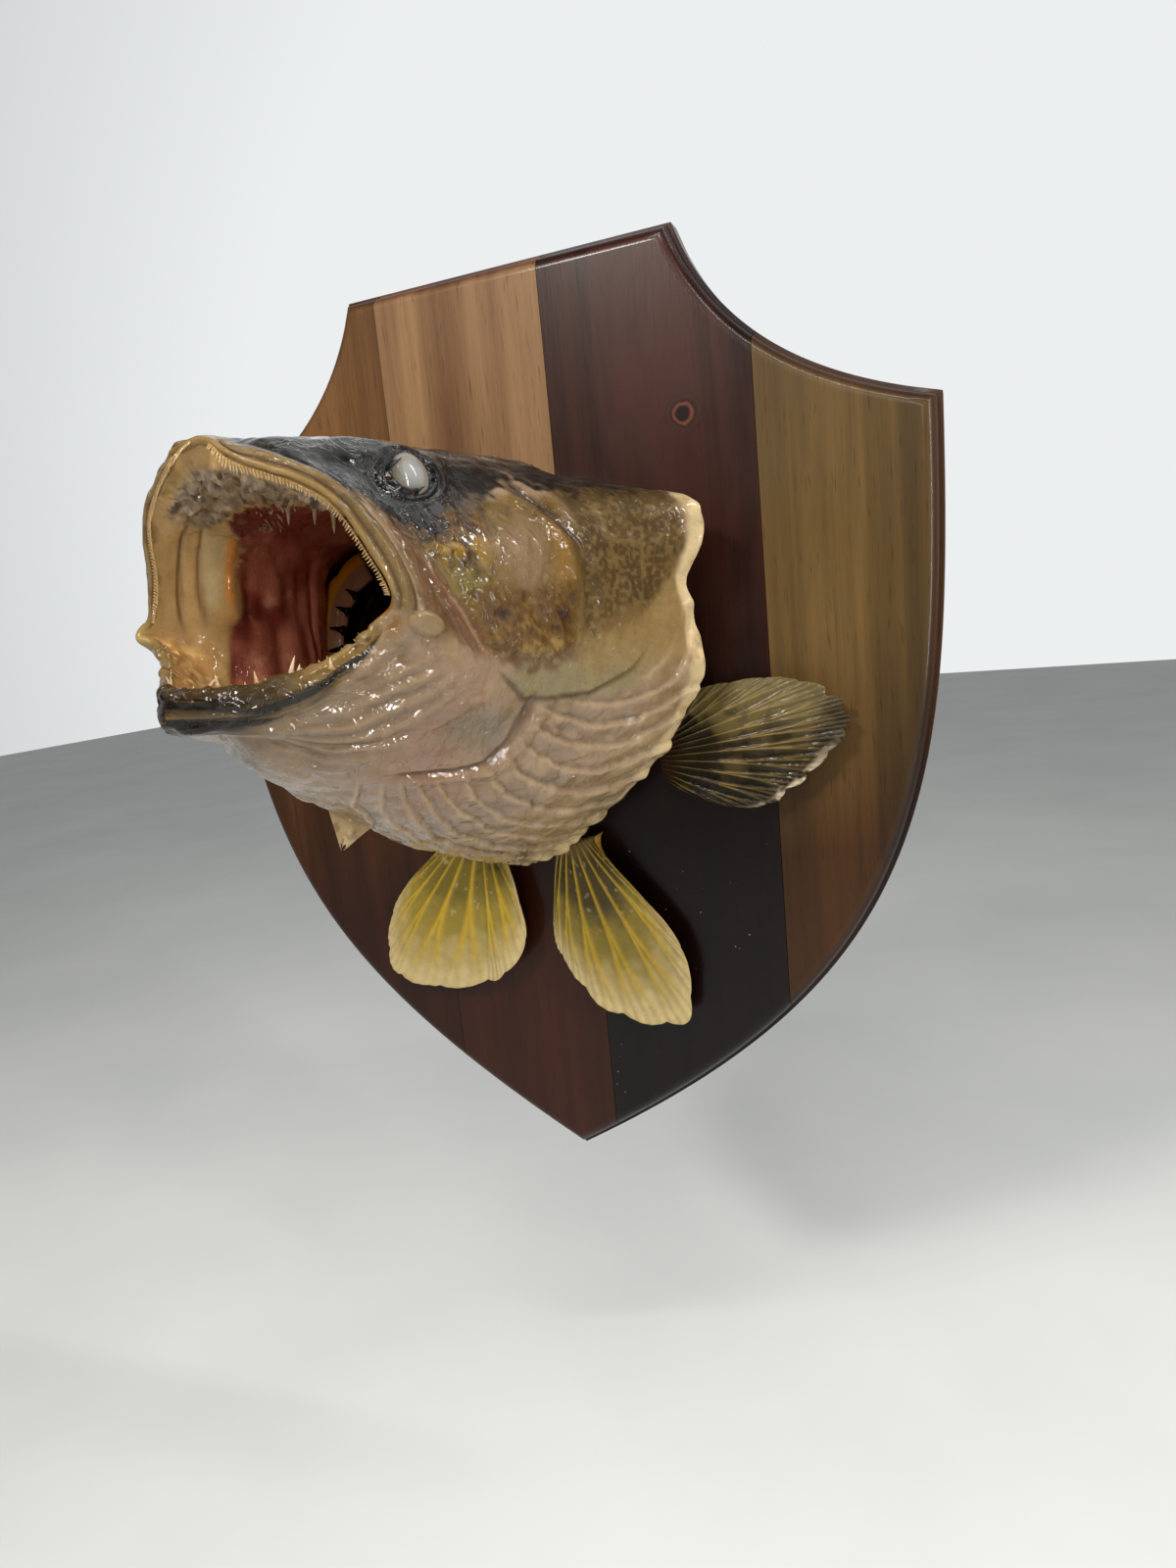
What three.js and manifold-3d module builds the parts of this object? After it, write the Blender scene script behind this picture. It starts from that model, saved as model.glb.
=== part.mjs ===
// A trophy fish head on its shield board: a large pike-perch (zander) with the mouth propped
// wide open, the gill covers spread, and four dried fins fixed to the board below the head.
// Millimetres, +Z up. The board's back lies in the plane Y = 0 with its centre at the origin,
// and the fish looks out along -Y. The fish's own left side is at +X.
import * as THREE from 'three';
import { mergeVertices } from 'three/addons/utils/BufferGeometryUtils.js';
import Module from 'manifold-3d';

const wasm = await Module();
wasm.setup();

// ---------------------------------------------------------------- driving sizes

const GAP = 0.3; // clearance between two pieces that touch

// Shield board
const BOARD_HALF_HEIGHT = 257;
const BOARD_HALF_WIDTH = 222;
const BOARD_TOP_HALF_WIDTH = 97;
const BOARD_SHOULDER_Z = 156;
const BOARD_THICKNESS = 19;
const BOARD_SIDE_BAND = 11; // plain edge behind the moulding
const MOULDING_STEP = 2.2;
const MOULDING_INSET = 9;
const STRIP_JOINTS_X = [-76, 25, 135]; // glue lines between the four boards

// Head
const NAPE_Y = -BOARD_THICKNESS - 0.4; // the nape stops just short of the board
const HEAD_TURN = 9 / 220; // sideways drift of the median plane per mm of reach
const CHEEK_THICKNESS = 3;
const COVER_THICKNESS = 1.6;
const MEMBRANE_THICKNESS = 1.4;
const LIP_THICKNESS = 3.5;
const JAW_THICKNESS = 6.5;
const EYE_RADIUS = 9.5;
// The right side of the mouth stands wider than the left one and its upper lip is a little
// higher: extra share of the half width at each rail, and lift in millimetres at each rail.
const RIGHT_SPREAD = [0, 0.02, 0.05, 0.13, 0.22, 0.33, 0.5, 0.48, 0.12, 0];
const RIGHT_LIFT = [0, 6, 4, 2, 0, 0, 0, 0, 0, 0];

// The skin is stretched over ten rails that run from the lips back to the gill-cover rim.
// Each point is [half width from the median plane, y, z] at the seven stations: lip, back of
// the lip bone, eye, middle of the cheek, edge of the preopercle, middle of the gill cover, rim.
const RAILS = [
  [[0, -244, 140.5], [0, -230, 141.5], [0, -190, 144], [0, -150, 147], [0, -105, 150], [0, -64, 153],
    [0, NAPE_Y, 155]], // crown
  [[14, -245, 131], [13, -237, 137], [31, -186, 141], [30, -150, 140], [29, -105, 143], [31, -62, 142],
    [37, NAPE_Y, 136]], // brow
  [[31, -238, 123], [31, -231, 129], [43, -190, 118], [46, -150, 122], [58, -108, 125], [79, -78, 125],
    [106, -50, 121]], // temple
  [[41, -231, 114], [44, -225, 118], [49, -192, 103], [57, -155, 104], [72, -112, 104], [90, -78, 103],
    [114, -50, 104]], // upper cheek
  [[46, -223, 98], [52, -217, 102], [56, -190, 85], [62, -157, 84], [75, -115, 84], [90, -80, 80],
    [107, -50, 81]], // cheek
  [[50, -217, 81], [56, -210, 79], [61, -187, 64], [67, -158, 60], [76, -120, 59], [91, -82, 58],
    [108, -50, 57]], // mouth corner
  [[43, -219, 72], [49, -213, 63], [57, -190, 46], [61, -160, 37], [71, -122, 31], [89, -84, 30],
    [108, -50, 33]], // jaw joint
  [[33, -233, 61], [34, -229, 50], [41, -203, 29], [45, -170, 14], [54, -132, 2], [70, -90, -6],
    [87, -50, -4]], // side of the lower jaw
  [[22, -257, 54], [20, -250, 41], [25, -220, 21], [27, -185, 2], [31, -145, -19], [38, -98, -35],
    [45, -50, -42]], // front of the lower jaw
  [[0, -277, 56], [0, -275, 42], [0, -238, 23], [0, -197, 0], [0, -150, -27], [0, -103, -48],
    [0, -50, -66]], // keel of the throat
];
const LAST_RAIL = RAILS.length - 1;
const LAST_STATION = RAILS[0].length - 1;
const EYE_PLACE = { rail: 1.52, station: 2.22 };
const EYE_SINK = 5.5; // depth of the eye's centre below the skin

// Underside of the skull at the stations from the snout to the board
const PALATE = {
  half_width: [20, 28, 38, 41, 42, 31, 34],
  middle_z: [134, 133, 122, 118, 112, 104, 96],
  side_drop: 9,
};

// ---------------------------------------------------------------- small helpers

const lerp = THREE.MathUtils.lerp;
const clamp = THREE.MathUtils.clamp;
const bell = (x, middle, width) => Math.exp(-(((x - middle) / width) ** 2));

function steps(from, to, count) {
  return Array.from({ length: count + 1 }, (_, i) => from + ((to - from) * i) / count);
}

function alongList(list, t) {
  const i = clamp(Math.floor(t), 0, list.length - 2);
  return lerp(list[i], list[i + 1], t - i);
}

// A closed geometry from points and triangles, turned so that its faces point out
function closedGeometry(points, triangles) {
  const positions = new Float32Array(points.flatMap((p) => [p.x, p.y, p.z]));
  let volume = 0;
  for (let i = 0; i < triangles.length; i += 3) {
    const [a, b, c] = [points[triangles[i]], points[triangles[i + 1]], points[triangles[i + 2]]];
    volume += a.dot(new THREE.Vector3().crossVectors(b, c));
  }
  const facing = volume > 0 ? triangles : triangles.slice().reverse();
  const geometry = new THREE.BufferGeometry();
  geometry.setAttribute('position', new THREE.BufferAttribute(positions, 3));
  geometry.setIndex(facing);
  return geometry;
}

// Skins closed rings of equal count and closes both ends with a fan
function loft(rings) {
  const count = rings[0].length;
  const points = rings.flat();
  const triangles = [];
  for (let r = 0; r + 1 < rings.length; r += 1) {
    for (let i = 0; i < count; i += 1) {
      const a = r * count + i;
      const b = r * count + ((i + 1) % count);
      triangles.push(a, b, a + count, b, b + count, a + count);
    }
  }
  for (const [ring, flip] of [[0, false], [rings.length - 1, true]]) {
    const middle = new THREE.Vector3();
    rings[ring].forEach((p) => middle.addScaledVector(p, 1 / count));
    points.push(middle);
    const centre = points.length - 1;
    for (let i = 0; i < count; i += 1) {
      const a = ring * count + i;
      const b = ring * count + ((i + 1) % count);
      if (flip) triangles.push(a, b, centre);
      else triangles.push(b, a, centre);
    }
  }
  return closedGeometry(points, triangles);
}

// A sheet over a grid: place(u, v, depth) gives its two faces at depth 0 and depth 1
function thickSheet(place, us, vs) {
  const rings = us.map((u) => {
    const front = vs.map((v) => place(u, v, 0));
    const back = vs.map((v) => place(u, v, 1)).reverse();
    return [...front, ...back];
  });
  const width = vs.length;
  const count = 2 * width;
  const points = rings.flat();
  const triangles = [];
  const quad = (a, b, c, d) => triangles.push(a, b, c, a, c, d);
  for (let r = 0; r + 1 < rings.length; r += 1) {
    for (let i = 0; i < count; i += 1) {
      const next = (i + 1) % count;
      quad(r * count + i, r * count + next, (r + 1) * count + next, (r + 1) * count + i);
    }
  }
  for (let i = 0; i + 1 < width; i += 1) {
    const last = (rings.length - 1) * count;
    quad(i + 1, i, count - 1 - i, count - 2 - i);
    quad(last + i, last + i + 1, last + count - 2 - i, last + count - 1 - i);
  }
  return closedGeometry(points, triangles);
}

// A round bar through points, with a radius at each
function bar(points, radii, sides) {
  const rings = points.map((p, i) => {
    const before = points[Math.max(i - 1, 0)];
    const after = points[Math.min(i + 1, points.length - 1)];
    const along = new THREE.Vector3().subVectors(after, before).normalize();
    const side = new THREE.Vector3(0, 1, 0).cross(along).normalize();
    const up = new THREE.Vector3().crossVectors(along, side);
    return steps(0, 2 * Math.PI, sides).slice(0, sides).map((turn) => p.clone()
      .addScaledVector(side, radii[i] * Math.cos(turn))
      .addScaledVector(up, radii[i] * Math.sin(turn)));
  });
  return loft(rings);
}

function toSolid(geometry) {
  const bare = geometry.clone();
  bare.deleteAttribute('normal');
  bare.deleteAttribute('uv');
  const merged = mergeVertices(bare, 1e-4);
  return new wasm.Manifold(new wasm.Mesh({
    numProp: 3,
    vertProperties: new Float32Array(merged.attributes.position.array),
    triVerts: new Uint32Array(merged.index.array),
  }));
}

function toGeometry(solid) {
  const mesh = solid.getMesh();
  const geometry = new THREE.BufferGeometry();
  geometry.setAttribute('position', new THREE.BufferAttribute(mesh.vertProperties, 3));
  geometry.setIndex(new THREE.BufferAttribute(mesh.triVerts, 1));
  return geometry;
}

function joined(geometries) {
  return toGeometry(geometries.map(toSolid).reduce((sum, next) => sum.add(next)));
}

function ball(centre, radius, segments) {
  return new THREE.SphereGeometry(radius, segments, Math.round(segments * 0.66))
    .translate(centre.x, centre.y, centre.z);
}

// A pointed tooth standing on base and reaching to tip
function tooth(base, tip, radius) {
  const along = new THREE.Vector3().subVectors(tip, base);
  const cone = new THREE.ConeGeometry(radius, along.length(), 4);
  cone.translate(0, along.length() / 2, 0);
  const turn = new THREE.Quaternion().setFromUnitVectors(new THREE.Vector3(0, 1, 0), along.clone().normalize());
  return cone.applyQuaternion(turn).translate(base.x, base.y, base.z);
}

// ---------------------------------------------------------------- head surface

const median = (y) => -HEAD_TURN * Math.max(NAPE_Y - y, 0);

function catmullRom(a, b, c, d, t) {
  return b.map((_, k) => 0.5 * (2 * b[k] + (c[k] - a[k]) * t
    + (2 * a[k] - 5 * b[k] + 4 * c[k] - d[k]) * t * t
    + (3 * b[k] - a[k] - 3 * c[k] + d[k]) * t ** 3));
}

const beyond = (end, inner) => end.map((value, k) => 2 * value - inner[k]);
const mirrored = (p) => [-p[0], p[1], p[2]];

function onRail(rail, station) {
  const i = clamp(Math.floor(station), 0, LAST_STATION - 1);
  const before = i > 0 ? rail[i - 1] : beyond(rail[0], rail[1]);
  const after = i + 2 <= LAST_STATION ? rail[i + 2] : beyond(rail[LAST_STATION], rail[LAST_STATION - 1]);
  return catmullRom(before, rail[i], rail[i + 1], after, station - i);
}

// The bare skin at a rail and a station; side is +1 for the fish's left and -1 for its right
function skin(side, rail, station) {
  const row = RAILS.map((points) => onRail(points, station));
  const i = clamp(Math.floor(rail), 0, LAST_RAIL - 1);
  const before = i > 0 ? row[i - 1] : mirrored(row[1]);
  const after = i + 2 <= LAST_RAIL ? row[i + 2] : mirrored(row[LAST_RAIL - 1]);
  const [half, y, z] = catmullRom(before, row[i], row[i + 1], after, rail - i);
  const front = side < 0 ? clamp(1 - station / 5, 0, 1) ** 1.5 : 0;
  const spread = front * alongList(RIGHT_SPREAD, rail);
  const lift = front * alongList(RIGHT_LIFT, rail);
  return new THREE.Vector3(median(y) + side * half * (1 + spread), y, z + lift);
}

function outward(side, rail, station) {
  const h = 0.05;
  const r0 = Math.max(rail - h, 0);
  const r1 = Math.min(rail + h, LAST_RAIL);
  const s0 = Math.max(station - h, 0);
  const s1 = Math.min(station + h, LAST_STATION);
  const down = new THREE.Vector3().subVectors(skin(side, r1, station), skin(side, r0, station));
  const back = new THREE.Vector3().subVectors(skin(side, rail, s1), skin(side, rail, s0));
  return down.cross(back).multiplyScalar(side).normalize();
}

// Raised and sunken forms of the skin, in millimetres along its outward direction
function relief(rail, station) {
  const cheek = 3.5 * bell(rail, 3.5, 1.1) * bell(station, 3.1, 0.75);
  const preopercleEdge = 2 * bell(station, 3.92, 0.16) * clamp((5.4 - rail) / 0.8, 0, 1)
    * clamp((rail - 2) / 0.5, 0, 1);
  const rays = 1.1 * Math.sin((rail - 5.6) * 2 * Math.PI * 1.6) * clamp((rail - 5.5) / 0.6, 0, 1)
    * clamp((station - 2.6) / 1.2, 0, 1) * clamp((LAST_RAIL - rail) / 0.5, 0, 1);
  const chinNotch = -10 * bell(station, 1.55, 0.3) * clamp((rail - 7.5) / 1.5, 0, 1);
  return cheek + preopercleEdge + rays + chinNotch;
}

function layer(side, rail, station, depth) {
  const out = outward(side, rail, station);
  const point = skin(side, rail, station).addScaledVector(out, relief(rail, station) - depth);
  point.y = Math.min(point.y, NAPE_Y);
  return point;
}

// A patch of the head between two rails and two stations, of even thickness
function patch(side, rails, stations, thickness, from = 0) {
  return thickSheet((rail, t, face) => {
    const range = typeof stations === 'function' ? stations(rail) : stations;
    return layer(side, rail, lerp(range[0], range[1], t), from + face * thickness);
  }, steps(rails[0], rails[1], rails[2]), steps(0, 1, stations.count ?? stations[2]));
}

// ---------------------------------------------------------------- board

function boardOutline() {
  const shape = new THREE.Shape();
  shape.moveTo(0, BOARD_HALF_HEIGHT);
  shape.lineTo(BOARD_TOP_HALF_WIDTH, BOARD_HALF_HEIGHT);
  shape.quadraticCurveTo(122, 182, BOARD_HALF_WIDTH, BOARD_SHOULDER_Z);
  shape.bezierCurveTo(BOARD_HALF_WIDTH, -50, 207, -137, 0, -BOARD_HALF_HEIGHT);
  const right = shape.getPoints(12);
  const left = right.slice(1, -1).reverse().map((p) => new THREE.Vector2(-p.x, p.y));
  return [...right, ...left];
}

function inset(outline, distance) {
  const count = outline.length;
  return outline.map((p, i) => {
    const before = outline[(i + count - 1) % count];
    const after = outline[(i + 1) % count];
    const into = new THREE.Vector2().subVectors(p, before).normalize();
    const away = new THREE.Vector2().subVectors(after, p).normalize();
    const n1 = new THREE.Vector2(into.y, -into.x);
    const n2 = new THREE.Vector2(away.y, -away.x);
    const mitre = n1.clone().add(n2).normalize();
    return p.clone().addScaledVector(mitre, distance / Math.max(mitre.dot(n1), 0.3));
  });
}

function boardBlank() {
  const outline = boardOutline();
  const rise = BOARD_THICKNESS - BOARD_SIDE_BAND;
  const profile = [[0, 0], [0, BOARD_SIDE_BAND], [MOULDING_STEP, BOARD_SIDE_BAND + 0.6]];
  for (const turn of steps(0, Math.PI / 2, 3).slice(1)) {
    const across = MOULDING_STEP + (MOULDING_INSET - MOULDING_STEP) * (1 - Math.cos(turn));
    profile.push([across, BOARD_SIDE_BAND + 0.6 + (rise - 0.6) * Math.sin(turn)]);
  }
  const rings = profile.map(([across, height]) => inset(outline, across)
    .map((p) => new THREE.Vector3(p.x, -height, p.y)));
  return loft(rings);
}

function boardStrip(left, right) {
  const slab = new THREE.BoxGeometry(right - left, 60, 4 * BOARD_HALF_HEIGHT);
  slab.translate((left + right) / 2, 0, 0);
  return toGeometry(toSolid(boardBlank()).intersect(toSolid(slab)));
}

// ---------------------------------------------------------------- skull and inner parts

const skullEdge = (station) => (station < 3.8 ? 1.93 : lerp(1.93, 1, clamp((station - 3.8) / 1.2, 0, 1)));

function palatePoint(station, across, drop) {
  const y = onRail(RAILS[0], station)[1];
  const half = alongList(PALATE.half_width, station);
  const z = alongList(PALATE.middle_z, station) - PALATE.side_drop * across * across - drop;
  return new THREE.Vector3(median(y) + across * half, y, z);
}

function eyeCentre(side) {
  const { rail, station } = EYE_PLACE;
  return skin(side, rail, station).addScaledVector(outward(side, rail, station), -EYE_SINK);
}

function skull() {
  const rings = steps(1.08, LAST_STATION, 12).map((station) => {
    const edge = skullEdge(station);
    const roof = steps(-1, 1, 10).map((a) => layer(a < 0 ? -1 : 1, Math.abs(a) * edge, station, 0));
    const floor = steps(1, -1, 6).map((across) => palatePoint(station, across, 0));
    return [...roof, ...floor];
  });
  let solid = toSolid(loft(rings));
  for (const side of [1, -1]) {
    solid = solid.subtract(toSolid(ball(eyeCentre(side), EYE_RADIUS + GAP + 0.1, 12)));
  }
  return toGeometry(solid);
}

function palate() {
  const plate = thickSheet(
    (station, across, face) => palatePoint(station, across, 1 + 3.5 * face),
    steps(1.15, 4, 8),
    steps(-0.94, 0.94, 6),
  );
  const teeth = [];
  for (const t of steps(-1, 1, 14)) {
    const station = 1.5 + 0.9 * t * t;
    const base = palatePoint(station, t * 0.78, 4);
    const long = 4 + 4 * bell(Math.abs(t), 0.5, 0.3);
    teeth.push(tooth(base, base.clone().add(new THREE.Vector3(-t, 1, -long)), 1.5));
  }
  return joined([plate, ...teeth]);
}

function neckBlock() {
  const rings = steps(4.1, LAST_STATION, 4).map((station) => {
    const top = steps(-0.9, 0.9, 6).map((across) => palatePoint(station, across, 1));
    const low = steps(0.75, -0.75, 4).map((across) => palatePoint(station, across, 34));
    return [...top, ...low];
  });
  return loft(rings);
}

function tongue() {
  const rings = steps(0, 1, 6).map((t) => {
    const y = lerp(-228, -160, t);
    const half = 13 * Math.sqrt(Math.sin(Math.PI * lerp(0.12, 0.62, t)));
    const high = 5 * Math.sin(Math.PI * lerp(0.15, 0.6, t));
    const z = lerp(41, 29, t);
    return steps(0, 2 * Math.PI, 10).slice(0, 10).map((turn) => new THREE.Vector3(
      median(y) + half * Math.cos(turn),
      y,
      z + high * Math.sin(turn),
    ));
  });
  return loft(rings);
}

const FLOOR_DEPTH = 9.5;
const FLOOR_THICKNESS = 2.5;

function mouthFloor() {
  return thickSheet((across, station, face) => {
    const side = across < 0 ? -1 : 1;
    const rail = LAST_RAIL - Math.abs(across);
    return layer(side, rail, station, FLOOR_DEPTH + face * FLOOR_THICKNESS);
  }, steps(-3, 3, 10), steps(1.1, 3.9, 5));
}

// The side wall of the mouth, a fold of skin hanging from the palate down to the floor
function mouthWall(side) {
  return thickSheet((back, down, face) => {
    const y = lerp(-198, -140, back);
    const half = 37 + 4 * Math.sin(Math.PI * down) + 3 * back - face * MEMBRANE_THICKNESS;
    const z = lerp(lerp(107, 103, back), lerp(52, 30, back), down);
    return new THREE.Vector3(median(y) + side * half, y + 10 * Math.sin(Math.PI * down) * (1 - back), z);
  }, steps(0, 1, 5), steps(0, 1, 6));
}

// A gill arch: a bent bar from the floor of the mouth up to the skull, with a comb of rakers
function gillArch(side, order) {
  const y = -137 + 24 * order;
  const middleX = median(y);
  const reach = 40 + 5 * order;
  const middle = { z: 66 - 3 * order, rise: 39 };
  const points = steps(-0.42, 0.4, 6).map((t) => new THREE.Vector3(
    middleX + side * (12 + (reach - 12) * Math.cos(Math.PI * t)),
    y + 16 * Math.abs(t),
    middle.z + middle.rise * Math.sin(Math.PI * t),
  ));
  const radii = points.map(() => 3);
  const rakers = points.slice(1, -1).map((p) => {
    const inward = new THREE.Vector3(middleX - p.x, -16, middle.z - p.z).normalize();
    return tooth(p, p.clone().addScaledVector(inward, 11), 1.5);
  });
  return joined([bar(points, radii, 5), ...rakers]);
}

// ---------------------------------------------------------------- jaws

function lipTeeth(side, rails, count, length, into) {
  return steps(rails[0], rails[1], count).map((rail, i) => {
    const base = layer(side, rail, 0.12, 1.8);
    const long = length * (0.75 + 0.35 * Math.abs(Math.sin(i * 2.4)));
    const middle = new THREE.Vector3(median(base.y), base.y + into.back, into.z);
    const toward = middle.sub(base).normalize();
    return tooth(base, base.clone().addScaledVector(toward, long), 1.2);
  });
}

const PLATE_HALF_SIZE = [8, 7, 1.8]; // rounded plate at the end of the maxilla

function premaxilla(side) {
  const bone = patch(side, [0.03, 3.3, 10], [0.02, 0.93, 2], LIP_THICKNESS);
  const teeth = lipTeeth(side, [0.3, 3.1], 11, 5, { back: 8, z: 92 });
  return joined([bone, ...teeth]);
}

function maxilla(side) {
  const bone = patch(side, [3.37, 5.3, 7], [0.02, 0.93, 2], LIP_THICKNESS);
  const plate = ball(new THREE.Vector3(), 1, 10).scale(...PLATE_HALF_SIZE);
  const out = outward(side, 5.3, 1);
  plate.applyQuaternion(new THREE.Quaternion().setFromUnitVectors(new THREE.Vector3(0, 0, 1), out));
  const seat = layer(side, 5.3, 0.95, -PLATE_HALF_SIZE[2] - GAP);
  plate.translate(seat.x, seat.y, seat.z);
  const stem = tooth(layer(side, 5.1, 0.6, 1.5), seat, 2.4);
  return joined([bone, stem, plate]);
}

function lowerJaw(side) {
  const bone = patch(side, [5.35, LAST_RAIL - 0.18, 10], [0, 0.96, 3], JAW_THICKNESS);
  const teeth = lipTeeth(side, [6.5, 8.7], 9, 6, { back: 14, z: 105 });
  return joined([bone, ...teeth]);
}

// ---------------------------------------------------------------- covers and membranes

const coverRim = (rail) => LAST_STATION - 0.12 * bell(rail, 4.1, 0.35) - 0.1 * bell(rail, 7.35, 0.12);

function flap() {
  const root = [layer(-1, LAST_RAIL - 0.55, 3.1, 0.3), layer(-1, LAST_RAIL - 0.25, 3.55, 0.3)];
  const tip = new THREE.Vector3(-20, -186, -22);
  return thickSheet((t, across, face) => {
    const start = root[0].clone().lerp(root[1], across);
    const point = start.lerp(tip, t * (1 - 0.12 * Math.sin(Math.PI * across)));
    return point.add(new THREE.Vector3(0.9 * face, -0.6 * face, -0.6 - 0.4 * face));
  }, steps(0.02, 0.97, 5), steps(0, 1, 3));
}

// ---------------------------------------------------------------- fins

const FIN_THICKNESS = 1.4;
const FIN_RAY_HEIGHT = 0.5;
const FIN_STUMP_SHARE = 0.3; // share of the fin's length over which its stump thins out

// A fin is a fan of rays between a root line and a margin, both drawn on the board as [x, z].
// Its root is a stump that stands on the board, and its blade is held off the board by lift.
function fin({ root, margin, lift, rays }) {
  const rootCurve = new THREE.CatmullRomCurve3(root.map(([x, z]) => new THREE.Vector3(x, 0, z)));
  const marginCurve = new THREE.CatmullRomCurve3(margin.map(([x, z]) => new THREE.Vector3(x, 0, z)));
  return thickSheet((s, t, back) => {
    const point = rootCurve.getPoint(s).lerp(marginCurve.getPoint(s), t);
    const ray = FIN_RAY_HEIGHT * Math.cos(s * rays * 2 * Math.PI) * Math.sqrt(t) * (1 - 0.5 * t);
    const stump = clamp(1 - t / FIN_STUMP_SHARE, 0, 1);
    const thickness = lerp(FIN_THICKNESS, lift(s, t), stump);
    point.y = -BOARD_THICKNESS - GAP - lift(s, t) - ray * (1 - back) + back * (thickness + ray);
    return point;
  }, steps(0, 1, rays * 2), [0, FIN_STUMP_SHARE, 0.65, 1]);
}

const LEFT_PECTORAL = {
  root: [[82, 2], [76, -6], [75, -14], [79, -24]],
  margin: [[97, 25], [118, 28], [138, 29], [158, 25], [172, 16], [176, 7], [172, -4], [160, -17], [149, -27],
    [137, -36], [118, -39], [102, -36], [90, -30]],
  lift: (s, t) => 12 + 3 * Math.sin(Math.PI * t) - 2 * t,
  rays: 12,
};

const mirrorX = (points) => points.map(([x, z]) => [-x, z]);

const RIGHT_PECTORAL = {
  ...LEFT_PECTORAL,
  root: mirrorX(LEFT_PECTORAL.root),
  margin: mirrorX(LEFT_PECTORAL.margin),
};

const LEFT_PELVIC = {
  root: [[10, -61], [18, -58], [26, -56], [34, -54]],
  margin: [[6, -84], [2, -113], [7, -131], [24, -155], [53, -165], [80, -161], [82, -125], [74, -107],
    [57, -87], [40, -69]],
  lift: (s, t) => 14 + 2 * Math.sin(Math.PI * t) - 2 * t,
  rays: 9,
};

const RIGHT_PELVIC = {
  root: [[-28, -58], [-37, -56], [-50, -56], [-64, -59]],
  margin: [[-23, -70], [-18, -92], [-16, -118], [-33, -140], [-46, -146], [-81, -152], [-110, -147],
    [-117, -130], [-110, -105], [-96, -86], [-82, -73]],
  lift: (s, t) => 14 + 2 * Math.sin(Math.PI * t) - 2 * t,
  rays: 9,
};

// ---------------------------------------------------------------- assembly

const fish = new THREE.Group();

function addPart(name, geometry, color, roughness, metalness = 0) {
  const mesh = new THREE.Mesh(geometry, new THREE.MeshStandardMaterial({ color, roughness, metalness }));
  mesh.name = name;
  fish.add(mesh);
}

const stripEdges = [-BOARD_HALF_WIDTH - 5, ...STRIP_JOINTS_X, BOARD_HALF_WIDTH + 5];
const stripColours = [0x7a4c2c, 0x8e6038, 0x3c1d18, 0x8a6a3a];
stripColours.forEach((color, i) => {
  const strip = boardStrip(stripEdges[i] + GAP / 2, stripEdges[i + 1] - GAP / 2);
  addPart(`plaque_strip_${i + 1}`, strip, color, 0.38);
});

addPart('skull', skull(), 0x23282c, 0.35);
addPart('palate', palate(), 0x7c4038, 0.35);
addPart('neck_block', neckBlock(), 0x2a1a14, 0.8);
addPart('tongue', tongue(), 0xa56a5e, 0.35);
addPart('mouth_floor', mouthFloor(), 0x53180f, 0.35);

for (const [label, side] of [['left', 1], ['right', -1]]) {
  addPart(`eye_${label}`, ball(eyeCentre(side), EYE_RADIUS, 12), 0xd8d6cc, 0.2);
  addPart(`premaxilla_${label}`, premaxilla(side), 0xb79a62, 0.35);
  addPart(`maxilla_${label}`, maxilla(side), 0xb79a62, 0.35);
  addPart(`lower_jaw_${label}`, lowerJaw(side), 0x241f18, 0.25);
  addPart(`cheek_${label}`, patch(side, [2.05, 5.3, 8], [1, 3.3, 6], CHEEK_THICKNESS), 0xa98646, 0.25);
  addPart(`preopercle_${label}`, patch(side, [2.05, 5.3, 8], [3.31, 4.06, 4], CHEEK_THICKNESS), 0xa37a3a, 0.25);
  const opercle = (rail) => [4.08, coverRim(rail)];
  opercle.count = 4;
  addPart(`opercle_${label}`, patch(side, [2.05, 4.7, 8], opercle, COVER_THICKNESS), 0x7d6b42, 0.4);
  addPart(`subopercle_${label}`, patch(side, [4.72, 5.7, 3], opercle, COVER_THICKNESS), 0xb5a27c, 0.35);
  addPart(`throat_${label}`, patch(side, [5.33, LAST_RAIL - 0.02, 9], [1, 2.4, 4], 2), 0xc0a998, 0.25);
  const membrane = (rail) => [2.42, coverRim(rail)];
  membrane.count = 7;
  addPart(
    `gill_membrane_${label}`,
    patch(side, [5.72, LAST_RAIL - 0.02, 15], membrane, MEMBRANE_THICKNESS),
    0xc6ae96,
    0.25,
  );
  addPart(`interopercle_${label}`, patch(side, [5.33, 5.7, 2], [2.42, 4.06, 5], 2), 0xc0a27c, 0.3);
  addPart(`mouth_wall_${label}`, mouthWall(side), 0x6b2f2b, 0.3);
  for (const order of [0, 1]) {
    addPart(`gill_arch_${label}_${order + 1}`, gillArch(side, order), 0xb88638, 0.4);
  }
}

addPart('membrane_flap_right', flap(), 0xc9bfae, 0.3);
addPart('pectoral_fin_left', fin(LEFT_PECTORAL), 0x6c5a2c, 0.3);
addPart('pectoral_fin_right', fin(RIGHT_PECTORAL), 0x6c5a2c, 0.3);
addPart('pelvic_fin_right', fin(RIGHT_PELVIC), 0xa8985a, 0.3);
addPart('pelvic_fin_left', fin(LEFT_PELVIC), 0xa8985a, 0.3);

export default fish;
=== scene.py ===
"""Looks for the mounted pike-perch head: one skin over the head, with eyes, teeth, gill arches, fins and board.

Lengths are written in millimetres and turned into metres when a mesh is made. The head is laid out on
ten rails (0 crown ... 9 keel of the throat) and seven stations (0 lip ... 6 gill-cover rim).
"""

import math

import bmesh
import bpy
import numpy as np
from mathutils import Matrix, Vector


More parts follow.
